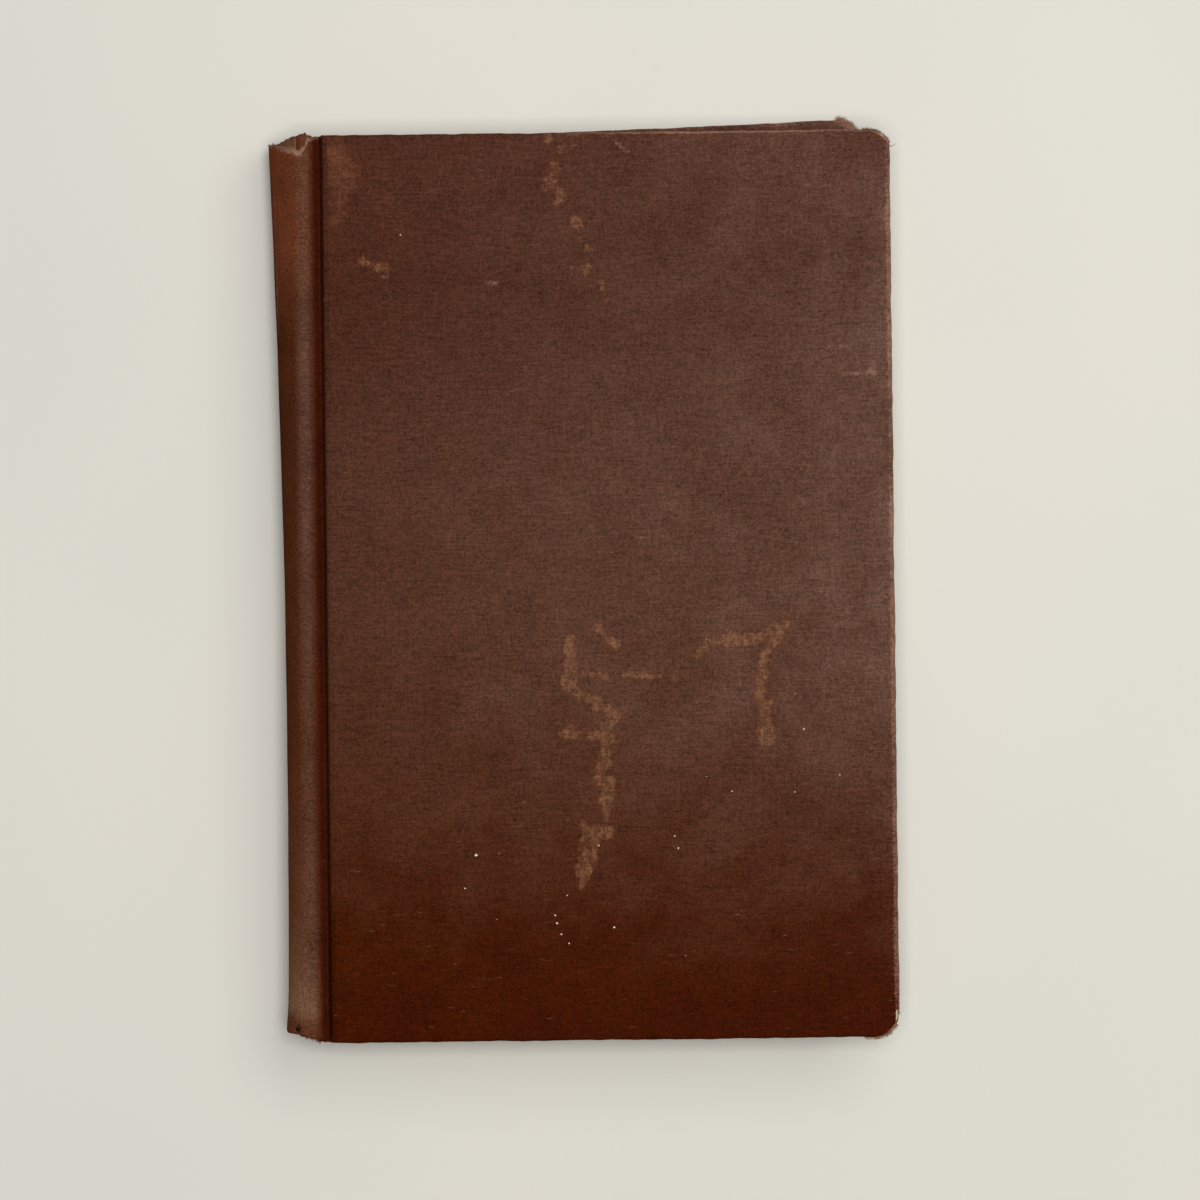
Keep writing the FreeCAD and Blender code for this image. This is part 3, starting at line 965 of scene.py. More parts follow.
@dataclass
class CoverCloth:
    """Book cloth round one board: the face, the rolled edges and the turn-ins.

    The face is a grid over the board whose corner squares are rounded. A profile carried
    along its border makes the edges and the turn-ins.
    """

    binding: Binding
    side: Side
    spacing: float
    head_corner: tuple[float, float]
    tail_corner: tuple[float, float]
    roll: float = 0.75
    joint_roll: float = 1.15
    inner_roll: float = 0.5
    turn_in: float = 15.0
    turned_bend: float = 0.6
    tucks: tuple[tuple[float, float], ...] = ((0.1, 0.02), (0.22, 0.02), (0.5, 0.04), (1.0, 0.16))
    waver: float = 0.10
    corner_waver: float = 0.22
    ripple: float = 0.05
    ring_wear: tuple[float, ...] = (
        0.8, 1.0, 1.0, 0.85, 0.6, 0.5, 0.5, 0.6, 0.7, 0.7, 0.6, 0.2, 0.1, 0, 0
    )
    seed: int = 3
    rng: np.random.Generator = field(init=False)

    def __post_init__(self) -> None:
        """Seeds the random draws."""
        self.rng = np.random.default_rng(self.seed)

    def lines(self) -> tuple[np.ndarray, np.ndarray, np.ndarray]:
        """Grid lines of the face.

        Returns:
            Distances out from the joint edge with their depths, down the joint's roll first,
            and distances up from the tail.
        """
        b = self.binding
        far = b.cover_width - self.roll
        turn = np.radians(np.linspace(0, 90, 8))
        out = np.concatenate([[0, 0, 0], self.joint_roll * (1 - np.cos(turn))])
        down = np.concatenate([[b.groove_depth, 2.2, 1.7], self.joint_roll * (1 - np.sin(turn))])
        flat = np.linspace(self.joint_roll, far, int(far / self.spacing))[1:]
        tall = b.half_height - self.roll
        up = np.linspace(-tall, tall, int(2 * tall / self.spacing))
        return np.concatenate([out, flat]), np.concatenate([down, 0 * flat]), up

    def rounded(self, out: np.ndarray, up: np.ndarray) -> tuple[np.ndarray, ...]:
        """Rounds the grid's corner squares.

        In a corner square with u and v from 0 to 1, u becomes u times the root of
        1 - v squared / 2, and v likewise, so the square's outer sides fall on a quarter
        ellipse and its inner sides stay.

        Args:
            out: distances out from the joint edge.
            up: distances up from the middle.

        Returns:
            The moved coordinates, and the outward normal of the outline nearest to each.
        """
        b = self.binding
        far, tall = b.cover_width - self.roll, b.half_height - self.roll
        moved_out, moved_up = out.copy(), up.copy()
        normal = np.zeros(out.shape + (2,))
        for end, (wide, high) in ((1, self.head_corner), (-1, self.tail_corner)):
            size_out, size_up = wide - self.roll, high - self.roll
            u = np.clip((out - (far - size_out)) / size_out, 0, 1)
            v = np.clip((end * up - (tall - size_up)) / size_up, 0, 1)
            new_u, new_v = u * np.sqrt(1 - v**2 / 2), v * np.sqrt(1 - u**2 / 2)
            moved_out = np.where((u > 0) & (v > 0), far - size_out + size_out * new_u, moved_out)
            moved_up = np.where((u > 0) & (v > 0), end * (tall - size_up + size_up * new_v), moved_up)
            normal[..., 0] = np.where(end * up >= 0, new_u / size_out, normal[..., 0])
            normal[..., 1] = np.where(end * up >= 0, end * new_v / size_up, normal[..., 1])
        length = np.linalg.norm(normal, axis=-1, keepdims=True)
        return moved_out, moved_up, normal / np.maximum(length, 1e-9)

    def border(self, shape: tuple[int, int]) -> np.ndarray:
        """Vertex numbers of the grid's border, from the joint at the head round to the tail."""
        number = np.arange(shape[0] * shape[1]).reshape(shape)
        return np.concatenate([number[:-1, -1], number[-1, ::-1], number[-2::-1, 0]])

    def outline(self) -> tuple[np.ndarray, np.ndarray]:
        """The face's border.

        Returns:
            Its points, out and up, and the outward normal at each of them.
        """
        out_lines, _, up_lines = self.lines()
        out, up, normal = self.rounded(*np.meshgrid(out_lines, up_lines, indexing="ij"))
        border = self.border(out.shape)
        return np.stack([out.ravel(), up.ravel()], -1)[border], normal.reshape(-1, 2)[border]

    def rim(self, first: Spot, last: Spot, depth: float) -> np.ndarray:
        """Points along the cloth's edge between the two of them nearest to two places.

        Args:
            first: one place, out from the joint edge and up from the middle.
            last: the other place.
            depth: depth of the points below the outer face.

        Returns:
            The points in the frame, one row each.
        """
        start, ways = self.outline()
        edge = start + ways * (self.roll - 0.08)
        ends = sorted(np.linalg.norm(edge - place, axis=1).argmin() for place in (first, last))
        run = edge[ends[0] : ends[1] + 1]
        return self.binding.on_cover(self.side, run[:, 0], run[:, 1], depth)

    def profile(self) -> np.ndarray:
        """The edge's profile: a quarter circle from the face, the side and another inwards.

        Returns:
            Outward offset and depth of each ring, from the face inwards.
        """
        turn, inner = np.radians([22, 45, 68, 90]), np.radians([0, 30, 60, 90])
        low = self.binding.case_depth - self.inner_roll
        roll = self.roll * np.stack([np.sin(turn), 1 - np.cos(turn)], -1)
        side = [[self.roll + 0.03, depth] for depth in (1.15, 1.7, 2.2)]
        tuck = self.inner_roll * np.stack([np.cos(inner) - 1, np.sin(inner)], -1) + [self.roll, low]
        return np.concatenate([roll, side, tuck])

    def rings(
        self, start: np.ndarray, ways: np.ndarray, start_depth: np.ndarray, corner: np.ndarray
    ) -> tuple[np.ndarray, np.ndarray]:
        """Rings round the face: first those of the profile, then those of the turned-in cloth.

        A ring of the profile is the border pushed outwards by the profile's offset, which
        wavers along the edge and more at the corners. A turned-in ring lies a share of the
        way from the last of those to the cloth's end, the border of a smaller rectangle.

        Args:
            start: the face's border, out and up.
            ways: the outward normals there.
            start_depth: the border's depth.
            corner: 1 at the worn corners, falling to 0 away from them.

        Returns:
            Places of the rings by points by two, and their depths.
        """
        b = self.binding
        steps = np.linalg.norm(np.diff(start, axis=0), axis=1)
        along = np.concatenate([[0], np.cumsum(steps)])[:, None]
        wobble = self.waver * waves(self.rng, along, 4.0, 60.0)
        wobble += corner * self.corner_waver * waves(self.rng, along, 0.9, 4.0)
        offset, deep = self.profile().T
        edge = start + ways * (offset[:, None] * (1 + wobble / self.roll))[..., None]
        edge_depth = start_depth + (b.case_depth - start_depth) * deep[:, None] / b.case_depth
        limit = np.array([b.cover_width, b.half_height]) - self.turn_in - self.turned_bend
        end = np.clip(start, (0, -limit[1]), limit) + ways * self.turned_bend
        share, dip = np.array(self.tucks).T
        tucked = edge[-1] + (end - edge[-1]) * share[:, None, None]
        tucked_depth = b.case_depth - dip[:, None] + 0 * start_depth
        return np.concatenate([edge, tucked]), np.concatenate([edge_depth, tucked_depth])

    def build(self) -> tuple[bpy.types.Object, np.ndarray]:
        """Makes the cover's cloth, the front one less the faces that are torn away.

        Returns:
            The piece, and the (out, up) place of each vertex for the stains.
        """
        b, front = self.binding, self.side is Side.FRONT
        out_lines, depth_lines, up_lines = self.lines()
        out, up, normal = self.rounded(*np.meshgrid(out_lines, up_lines, indexing="ij"))
        depth = np.repeat(depth_lines, len(up_lines))
        flat, border = np.stack([out.ravel(), up.ravel()], -1), self.border(out.shape)
        start, ways = flat[border], normal.reshape(-1, 2)[border]
        corner = np.exp(-((np.abs(ways[:, 0] * ways[:, 1]) - 0.5) ** 2) / 0.05)
        rings, depths = self.rings(start, ways, depth[border], corner)
        places = np.concatenate([flat, rings.reshape(-1, 2)])
        deep = np.concatenate([depth, depths.ravel()])
        bulge = self.ripple * (1 + waves(self.rng, places, 9.0, 70.0))
        deep = deep + np.where(deep < 0.01, bulge, 0)
        ladder = np.arange(depths.size).reshape(depths.shape) + len(flat)
        ladder = np.concatenate([border[None], ladder])
        quads = np.stack([ladder[:-1, :-1], ladder[:-1, 1:], ladder[1:, 1:], ladder[1:, :-1]], -1)
        quads = quads.reshape(-1, 4)
        if front:
            quads = quads[~self.torn(places[quads].mean(1), deep[quads].mean(1))]
        marks = self.marks(flat, places, start, corner)
        points = b.on_cover(self.side, places[:, 0], places[:, 1], deep)
        faces = np.concatenate([quads, grid_quads(*out.shape)])
        outward = (0, 0, 1) if front else (0, 0, -1)
        name = f"{self.side.value}_cloth"
        return make_sheet(name, points, faces, outward, b.cloth * CLOTH_SHOWN, marks), places

    def torn(self, middle: np.ndarray, deep: np.ndarray) -> np.ndarray:
        """Where the tail corner's cloth is worn through.

        Args:
            middle: middles of the edge's faces, out and up.
            deep: their depths.

        Returns:
            Which of the faces are gone.
        """
        gap = TEAR.distance(middle - np.array([self.binding.cover_width, 0]))
        rough = 0.5 * waves(self.rng, np.concatenate([middle, deep[:, None]], 1), 0.8, 3.0)
        return (gap + rough < 0) & (deep > 0.015) & (deep < 2.75)

    def marks(
        self, flat: np.ndarray, places: np.ndarray, start: np.ndarray, corner: np.ndarray
    ) -> dict[str, np.ndarray]:
        """Wear of the cloth, strongest along the fore-edge and the head, with the painted sheen over the
        face and the painted shade in the groove.

        Args:
            flat: places of the face's vertices.
            places: places of all the vertices, the face's first.
            start: places of the face's border.
            corner: 1 at the worn corners, falling to 0 away from them.

        Returns:
            How rubbed the cloth is, how much painted sheen lies on it, and how much painted groove shade
            with unfaded cloth, at each vertex.
        """
        b = self.binding
        fore = np.clip((start[:, 0] - (b.cover_width - 3.0)) / 2.0, 0, 1)
        head = np.clip((start[:, 0] - 45) / 20, 0, 1) * (start[:, 1] > 90)
        strength = 0.22 + 0.45 * fore + 0.5 * head * (1 - fore) + 0.45 * corner
        border_gap = np.minimum(
            b.cover_width - self.roll - flat[:, 0], b.half_height - self.roll - np.abs(flat[:, 1])
        )
        near_fore = np.clip((flat[:, 0] - (b.cover_width - 6.0)) / 4.0, 0, 1)
        on_face = np.exp(-np.clip(border_gap, 0, None) / 0.7) * (0.2 + 0.4 * near_fore)
        rub = np.concatenate([on_face, np.outer(self.ring_wear, strength).ravel()])
        out, up = places[:, 0] / b.cover_width, places[:, 1] / b.cover_height + 0.5
        # Painted sheen on the face: strongest towards the fore-edge and from the middle up to the head,
        # least at the tail.
        across = np.interp(out, (0, 0.35, 0.6, 0.93, 1), (0, 0.4, 0.6, 1, 1.4))
        along = np.interp(up, (0.05, 0.15, 0.25, 0.38, 0.6, 1), (0.05, 0.2, 0.5, 0.9, 1, 0.9))
        # The groove mark: painted shade in the groove, with the unfaded cloth there.
        return {"rub": rub, "painted_sheen": across * along, "groove_shade_and_unfaded": groove_shade_and_unfaded_share(places[:, 0])}


def groove_shade_and_unfaded_share(out: np.ndarray) -> np.ndarray:
    """Painted shade in the groove, with the darker unfaded cloth there, by the distance out from the
    joint edge.
    """
    return np.clip((0.35 - out) / 1.0, 0, 1)


@dataclass
class BoardPlate:
    """The binder's board inside one cover, its corners worn like those of the cloth round it."""

    binding: Binding
    cloth: CoverCloth
    gap: float = 0.38
    edge_round: float = 0.25
    least_step: float = 1e-3

    def build(self) -> None:
        """Makes the plate: two flat faces and, between them, rings along the cloth's outline."""
        b, side = self.binding, self.cloth.side
        start, ways = self.cloth.outline()
        inset = self.gap + np.array([self.edge_round, 0.0, 0.0, self.edge_round])[:, None]
        rings = start + ways * (self.cloth.roll - inset)[..., None]
        rings[..., 0] = np.maximum(rings[..., 0], inset)
        steps = np.linalg.norm(np.diff(rings[0], axis=0), axis=1)
        rings = rings[:, np.concatenate([[True], steps > self.least_step])]
        top, bottom = b.cloth + 0.02, b.cloth + b.board - 0.02
        depth = np.array([top, top + self.edge_round, bottom - self.edge_round, bottom])
        points = b.on_cover(side, rings[..., 0], rings[..., 1], depth[:, None])
        faces = tube_faces(1, *rings.shape[:2])
        name = f"{side.value}_board_plate"
        piece = make_sheet(name, points.reshape(-1, 3), faces, smooth=35)
        hand_over(piece, BOARD.build(), "binders_board", side.body, f"{side.value}_board")


# Stains of the front cover, in millimetres from the middle of the cover.


TRAIL = (
    Stroke((-12.4, 97.4), (-12.0, 96.8), 1.1, 0.7),
    Stroke((-10.0, 94.6), (-10.2, 94.0), 1.0, 0.8),
    Stroke((-11.4, 90.6), (-11.9, 89.6), 1.4, 1.2),
    Stroke((-12.3, 88.0), (-12.2, 87.0), 1.5, 1.2),
    Stroke((-9.8, 85.4), (-9.2, 84.9), 1.2, 0.8),
    Stroke((-10.4, 83.6), (-10.1, 83.2), 0.8, 0.6),
    Stroke((-6.8, 79.2), (-6.2, 78.6), 1.1, 0.9),
    Stroke((-4.0, 73.0), (-4.1, 72.5), 0.8, 0.8),
    Stroke((-4.2, 69.0), (-4.2, 68.1), 0.8, 0.9),
    Stroke((-1.2, 65.8), (-0.8, 63.2), 0.45, 0.5),
    Stroke((-0.8, 63.2), (-0.2, 61.9), 0.7, 0.4),
    Stroke((-53.1, 70.7), (-48.2, 69.2), 0.8, 1.0),
    Stroke((-3.1, -9.2), (1.6, -13.0), 0.9, 0.7),
    Stroke((-9.0, -11.5), (-9.2, -21.5), 1.1, 1.4),
    Stroke((-10.0, -21.1), (-4.2, -25.1), 1.0, 1.3),
    Stroke((-4.2, -25.1), (1.9, -28.4), 1.3, 1.2),
    Stroke((0.1, -27.7), (-1.2, -31.8), 1.4, 1.2),
    Stroke((-10.6, -31.9), (0.1, -32.5), 0.8, 0.9),
    Stroke((-9.0, -29.6), (-9.3, -31.7), 0.6, 0.6),
    Stroke((-6.3, -19.0), (-0.7, -19.5), 0.5, 0.6),
    Stroke((2.4, -19.1), (9.8, -19.8), 0.6, 0.8),
    Stroke((13.7, -20.1), (14.2, -20.2), 0.9, 0.7),
    Stroke((-1.3, -34.4), (-1.3, -38.8), 1.3, 1.2),
    Stroke((-2.6, -39.2), (-2.7, -42.3), 1.0, 1.2),
    Stroke((-0.9, -42.7), (-1.4, -49.0), 1.5, 1.4),
    Stroke((-6.7, -52.0), (-1.1, -53.8), 1.1, 1.3),
    Stroke((-5.0, -55.4), (-6.8, -64.2), 2.3, 1.2),
    Stroke((18.7, -15.3), (21.4, -11.6), 0.8, 1.1),
    Stroke((21.4, -11.6), (29.9, -12.2), 1.2, 1.6),
    Stroke((29.9, -12.2), (38.0, -8.6), 1.6, 1.0),
    Stroke((36.4, -10.7), (33.3, -15.5), 1.2, 1.2),
    Stroke((33.3, -15.5), (32.3, -24.6), 1.3, 1.1),
    Stroke((30.8, -25.7), (34.1, -25.7), 0.4, 0.4),
    Stroke((33.2, -27.4), (33.4, -33.0), 1.1, 1.9),
)
PALE = (
    Stroke((1.8, 96.8), (3.7, 95.1), 0.25, 0.3),
    Stroke((3.7, 95.1), (5.4, 93.9), 0.3, 0.2),
    Stroke((-7.9, 69.1), (3.6, 69.0), 0.1, 0.1),
    Stroke((-48.8, 67.8), (-47.6, 67.6), 0.3, 0.2),
    Stroke((-26.2, 66.1), (-23.8, 66.0), 0.3, 0.3),
    Stroke((46.9, 51.3), (52.1, 51.3), 0.1, 0.1),
    Stroke((50.7, 45.6), (58.1, 45.5), 0.1, 0.2),
    Stroke((57.2, 46.4), (57.5, 46.2), 0.6, 0.4),
    Stroke((57.5, 48.2), (57.9, 48.2), 0.3, 0.3),
)
RUSSET = (
    Stroke((-59.0, 95.0), (-56.5, 90.0), 2.2, 2.8),
    Stroke((-57.0, 89.0), (-58.5, 80.0), 1.6, 0.2),
)
DIRT = (
    Stroke((-21.2, -50.4), (-20.8, -50.2), 0.5, 0.4),
    Stroke((-19.6, -47.8), (-19.4, -47.6), 0.3, 0.2),
    Stroke((-16.8, -46.1), (-16.4, -45.9), 0.3, 0.2),
)
STAINS = {"trail": TRAIL, "pale": PALE, "russet": RUSSET, "dirt": DIRT}

# Paint flecks of the front cover: place from its middle, and radius.
FLECKS = (
    (-44.7, 76.7, 0.22), (-3.2, -56.2, 0.26), (41.6, -31.5, 0.3), (40.0, -17.7, 0.14),
    (39.9, -23.8, 0.13), (20.4, -41.6, 0.2), (25.8, -44.8, 0.2), (39.5, -45.1, 0.18),
    (49.3, -41.5, 0.22), (13.3, -54.4, 0.2), (14.1, -57.0, 0.24), (-10.1, -67.0, 0.22),
    (-29.8, -58.0, 0.38), (-24.8, -57.7, 0.14), (-32.3, -65.2, 0.2), (-23.4, -67.5, 0.3),
    (-12.8, -71.3, 0.22), (-12.4, -73.0, 0.26), (-11.5, -75.4, 0.24), (-9.8, -77.4, 0.22),
    (-25.4, -72.0, 0.14), (0.0, -74.0, 0.3), (15.4, -80.3, 0.16),
)

# The tear at the tail corner of the front cover, from the fore-edge and from the middle.
TEAR = Stroke((-0.4, -95.0), (-0.1, -93.9), 0.95, 0.95)


@dataclass
class Cover:
    """One cover: the board, the cloth round it and the threads at its worn corners."""

    binding: Binding
    side: Side
    spacing: float
    head_corner: tuple[float, float]
    tail_corner: tuple[float, float]
    tufts: tuple[Tuft, ...]
    cloth: BookCloth = BookCloth()

    def build(self) -> None:
        """Makes the board, the threads and the cloth, the front one with its stains."""
        b, side = self.binding, self.side
        sheet = CoverCloth(b, side, self.spacing, self.head_corner, self.tail_corner)
        BoardPlate(b, sheet).build()
        threads = [(sheet.rim(*tuft.run), tuft) for tuft in self.tufts]
        stained = side is Side.FRONT
        Fray(f"{side.value}_fray", side.body, threads, FRAY if stained else PALE_FRAY).build()
        piece, places = sheet.build()
        if stained:
            centred = places - np.array([b.cover_width / 2, 0])
            for mark, strokes in STAINS.items():
                add_mark(piece.data, mark, nearest(strokes, centred))
        finish = self.cloth.build(f"{side.value}_book_cloth", stained, b.half_height)
        hand_over(piece, finish, "book_cloth", side.body, f"{side.value}_cover_cloth")


@dataclass
class PaintFlecks:
    """Small flecks of pale paint dried on the front cover, each a low uneven dome."""

    binding: Binding
    sides: int = 9
    height: float = 0.07
    depth: float = 0.09
    shares: tuple[float, ...] = (1.0, 0.85, 0.5)
    seed: int = 11

    def build(self) -> None:
        """Makes all the flecks as one piece.

        A fleck is rings whose radius falls from its own uneven outline to a small cap, and
        whose height rises as the root of one less the squared share of the radius.
        """
        b, rng = self.binding, np.random.default_rng(self.seed)
        x, y, radius = np.array(FLECKS).T[..., None, None]
        turn = np.arange(self.sides) * 2 * math.pi / self.sides
        outline = radius * rng.uniform(0.65, 1.2, (len(FLECKS), 1, self.sides))
        share = np.array(self.shares)[:, None]
        out = b.cover_width / 2 + x + share * outline * np.cos(turn)
        up = y + share * outline * np.sin(turn)
        rise = self.height * np.sqrt(1 - share**2 * 0.999)
        points = b.on_cover(Side.FRONT, out, up, self.depth - rise)
        faces = tube_faces(len(FLECKS), len(self.shares), self.sides)
        piece = make_sheet("paint_flecks", points.reshape(-1, 3), faces)
        hand_over(piece, FLECK.build(), None, Side.FRONT.body)


# The spine

# Cloth lost at the tail of the spine, by the distance round it from the front groove.
TAIL_WEAR = ((0, 2.6, 4, 7, 10, 16, 25, 33), (0.6, 0.7, 1.1, 1.5, 2.1, 2.1, 1.3, 0.6))

# Cloth lost at the head of the spine, likewise.
HEAD_WEAR = (
    (0, 1.6, 2.8, 3.5, 4.3, 6, 9.5, 12, 16, 25, 33),
    (0.15, 0.3, 0.5, 0.9, 2.9, 3.0, 2.7, 2.2, 1.6, 0.8, 0.3),
)

# Card lost at the head of the spine, likewise.
CARD_WEAR = ((5, 9, 13, 24, 31), (0.3, 0.5, 1.2, 1.4, 0.6))

# How far the turned-in cloth stands past the covers at the head of the spine, likewise.
TURNED_EDGE = (
    (0, 3, 4, 5, 8, 12, 16, 30, 36),
    (-0.2, 0.2, 0.75, 0.35, 0.1, -0.5, -1.1, -0.5, -0.2),
)


@dataclass
class SpineCard:
    """The card strip inside the spine's cloth, rubbed ragged where the cloth has gone."""

    binding: Binding
    rows: int = 90
    stations: int = 48
    layer: float = 0.40
    thickness: float = 0.38
    seed: int = 31

    def build(self) -> None:
        """Makes the strip: rows along the spine between two ragged ends."""
        b, rng = self.binding, np.random.default_rng(self.seed)
        along = np.linspace(5, 31, self.stations)
        tail = -b.half_height + 0.7 + np.interp(along, *TAIL_WEAR)
        head = b.half_height - np.interp(along, *CARD_WEAR) + 0.2 * waves(rng, along[:, None], 1.2, 6.0)
        y = tail + (head - tail) * np.linspace(0, 1, self.rows)[:, None]
        grid = b.over_back(y, self.layer, b.groove_depth, {Stretch.BACK: self.stations})
        faces = grid_quads(*y.shape)
        piece = make_sheet(
            "spine_card_strip", grid.reshape(-1, 3), faces, (-1, 0, 0), self.thickness
        )
        hand_over(piece, CARD.build(), "spine_card", "text_block", "spine_inlay")


@dataclass
class SpineCloth:
    """Book cloth over the spine: the outer sheet, folded in at the tail, and worn off at the head."""

    binding: Binding
    head_tufts: tuple[Tuft, ...]
    tail_tufts: tuple[Tuft, ...]
    cloth: BookCloth = SPINE_CLOTH
    rows: int = 230
    fold_rows: int = 7
    inner_rows: int = 24
    turned_rows: int = 34
    counts: dict[Stretch, int] = field(
        default_factory=lambda: dict(zip(Stretch, (5, 4, 14, 44), strict=True))
    )
    turned_layer: float = 1.20
    turned_sink: float = 0.7
    turn_in: float = 15.0
    seed: int = 21

    def stations(self) -> np.ndarray:
        """Distance of each column round the spine, from the front groove, half way up.

        Returns:
            The distances.
        """
        b = self.binding
        total = 2 * sum(self.counts.values()) - self.counts[Stretch.BACK]
        middle = b.over_back(np.zeros((1, total)), 0.0, b.groove_depth, self.counts)[0]
        steps = np.linalg.norm(np.diff(middle, axis=0), axis=1)
        return np.concatenate([[0], np.cumsum(steps)])

    def wear_and_sheen(self, along: np.ndarray, rng: np.random.Generator) -> np.ndarray:
        """How far the outer cloth has gone at the head, at each station round the spine.

        Args:
            along: distance round the spine from the front groove.
            rng: source of the ragged edge.

        Returns:
            The length of cloth that is gone, with a ragged edge added.
        """
        base = np.interp(along, *HEAD_WEAR)
        ragged = 0.4 * waves(rng, along[:, None], 1.3, 6.0) + 0.14 * rng.normal(size=len(along))
        return np.clip(base + ragged * np.clip(base / 2, 0.1, 1), 0.05, None)

    def layout(self, along: np.ndarray, rng: np.random.Generator) -> tuple[np.ndarray, np.ndarray]:
        """Rows of the outer sheet.

        They run from the head's ragged edge down to the tail, round a half circle between the
        outer layer and the turned one, and up inside.

        Args:
            along: distance round the spine from the front groove.
            rng: source of the ragged edges.

        Returns:
            Height of each point, and layer of each row.
        """
        b = self.binding
        bend = self.turned_layer / 2
        lost = np.interp(along, *TAIL_WEAR)
        tail = -b.half_height + bend + lost + 0.12 * waves(rng, along[:, None], 1.5, 6.0)
        head = b.half_height - self.wear_and_sheen(along, rng)
        share = np.linspace(0, 1, self.rows)[:, None] ** 0.9
        turn = np.radians(np.linspace(18, 162, self.fold_rows))[:, None]
        inner = np.linspace(0, self.turn_in, self.inner_rows)[:, None]
        y = np.concatenate([head * (1 - share) + tail * share, tail - bend * np.sin(turn), tail + inner])
        return y, np.concatenate([0 * share, bend * (1 - np.cos(turn)), 0 * inner + self.turned_layer])

    def build(self) -> None:
        """Makes the outer sheet, the turned-in cloth at the head and the threads of both ends."""
        b, rng = self.binding, np.random.default_rng(self.seed)
        along = self.stations()
        y, layer = self.layout(along, rng)
        floor = b.groove_depth + layer * self.turned_sink / self.turned_layer
        grid = b.over_back(y, layer, floor, self.counts)
        self.crumple(grid, along, rng)
        marks = self.marks(grid, along, layer)
        faces = grid_quads(*y.shape)
        faces = faces[self.kept(grid.reshape(-1, 3)[faces].mean(1), rng)]
        thickness = b.cloth * CLOTH_SHOWN
        piece = make_sheet(
            "spine_cloth_outer", grid.reshape(-1, 3), faces, (-1, 0, 0), thickness, marks
        )
        finish = self.cloth.build("spine_book_cloth", False, b.half_height)
        hand_over(piece, finish, "book_cloth", "text_block", "spine_cloth")
        self.build_turned(along, rng)
        Fray("spine_fray", "text_block", self.threads(grid, along)).build()

    def crumple(self, grid: np.ndarray, along: np.ndarray, rng: np.random.Generator) -> None:
        """Pushes the cloth about at its two ends, and gently along its length.

        Each vertex moves away from the middle of the leaves by a smooth random amount that
        grows within a few millimetres of head and tail.

        Args:
            grid: the sheet's points, which are moved.
            along: distance round the spine from the front groove.
            rng: source of the randomness.
        """
        b = self.binding
        y = grid[..., 1]
        ends = np.exp(-(b.half_height - np.abs(y)) / 2.2)
        tail = ends * (y < 0)
        away = grid - np.array([-60.0, 0, 13.0])
        away[..., 1] = 0
        away /= np.linalg.norm(away, axis=-1, keepdims=True)
        soft = 0.06 * waves(rng, grid, 12.0, 60.0)
        rough = waves(rng, grid * np.array([1, 0.5, 1]), 1.6, 7.0)
        flare = np.clip((along - 7) / 4, 0, 1) * np.clip((26 - along) / 8, 0, 1)
        push = soft + ends * 0.28 * rough + tail * flare * (1.6 + 0.7 * rough)
        grid += away * push[..., None]
        past_joint = np.clip((along - 2.5) / 2, 0, 1)
        grid[..., 1] += tail * past_joint * 0.35 * waves(rng, grid, 1.5, 6.0)

    def marks(
        self, grid: np.ndarray, along: np.ndarray, layer: np.ndarray
    ) -> dict[str, np.ndarray]:
        """Wear of the cloth: rubbed at the ragged head and the tail; with a painted highlight on the
        ridge, painted shade in the front groove, and a lighter colour over the back for its fading and
        as painted light on its shade.

        Args:
            grid: the sheet's points.
            along: distance round the spine from the front groove.
            layer: layer of each row.

        Returns:
            How rubbed the cloth is, how much painted highlight, how much of the back's lighter colour
            (fading and painted light), and how much painted groove shade with unfaded cloth, at each
            vertex.
        """
        y = grid[..., 1]
        head_gap = np.clip(y[:1] - y, 0, None)
        lip = np.exp(-(((along - 7.0) / 3.0) ** 2))
        rub = (0.7 + 0.9 * lip) * np.exp(-head_gap / (0.6 + 0.5 * lip))
        rub += 0.35 * np.exp(-np.clip(y + self.binding.half_height, 0, None) / 2.5)
        scuffed = np.clip((y - 50) / 8, 0, 1) * np.clip((92 - y) / 6, 0, 1)
        rub += 0.55 * scuffed * np.exp(-(((along - 17.0) / 1.6) ** 2))
        values = {
            "rub": np.where(layer > 0.05, 0.3, rub),
            # Painted highlight along the crest of the front ridge.
            "painted_sheen": 0.3 * np.exp(-(((along - 4.8) / 1.2) ** 2)),
            # The back's lighter colour: fading, with painted light on its shade.
            "back": np.clip((along - 4.8) / 2.6, 0, 1),
            # Painted shade in the front groove, with the unfaded cloth there.
            "groove_shade_and_unfaded": np.clip((3.9 - along) / 1.7, 0, 1),
        }
        return {name: (value + 0 * y).ravel() for name, value in values.items()}

    def kept(self, middle: np.ndarray, rng: np.random.Generator) -> np.ndarray:
        """Which faces are left round the ragged hole at the tail's front corner.

        Args:
            middle: middles of the sheet's faces.
            rng: source of the ragged edge.

        Returns:
            True for each face that stays.
        """
        hole = np.linalg.norm((middle[:, :2] - [-68.9, -95.4]) / [0.8, 0.6], axis=1)
        return (hole + 0.25 * waves(rng, middle, 0.7, 2.0) > 1) | (middle[:, 2] < 13)

    def threads(self, grid: np.ndarray, along: np.ndarray) -> list[tuple[np.ndarray, Tuft]]:
        """The runs of the ragged head and of the tail's fold that threads are rooted in.

        Args:
            grid: the sheet's points.
            along: distance round the spine from the front groove.

        Returns:
            Points of each run, with its tuft.
        """
        rooted = []
        fold = grid[self.rows + self.fold_rows // 2]
        for edge, tufts in ((grid[0], self.head_tufts), (fold, self.tail_tufts)):
            for tuft in tufts:
                first, last = np.searchsorted(along, tuft.run)
                rooted.append((edge[first : max(last, first + 2)], tuft))
        return rooted

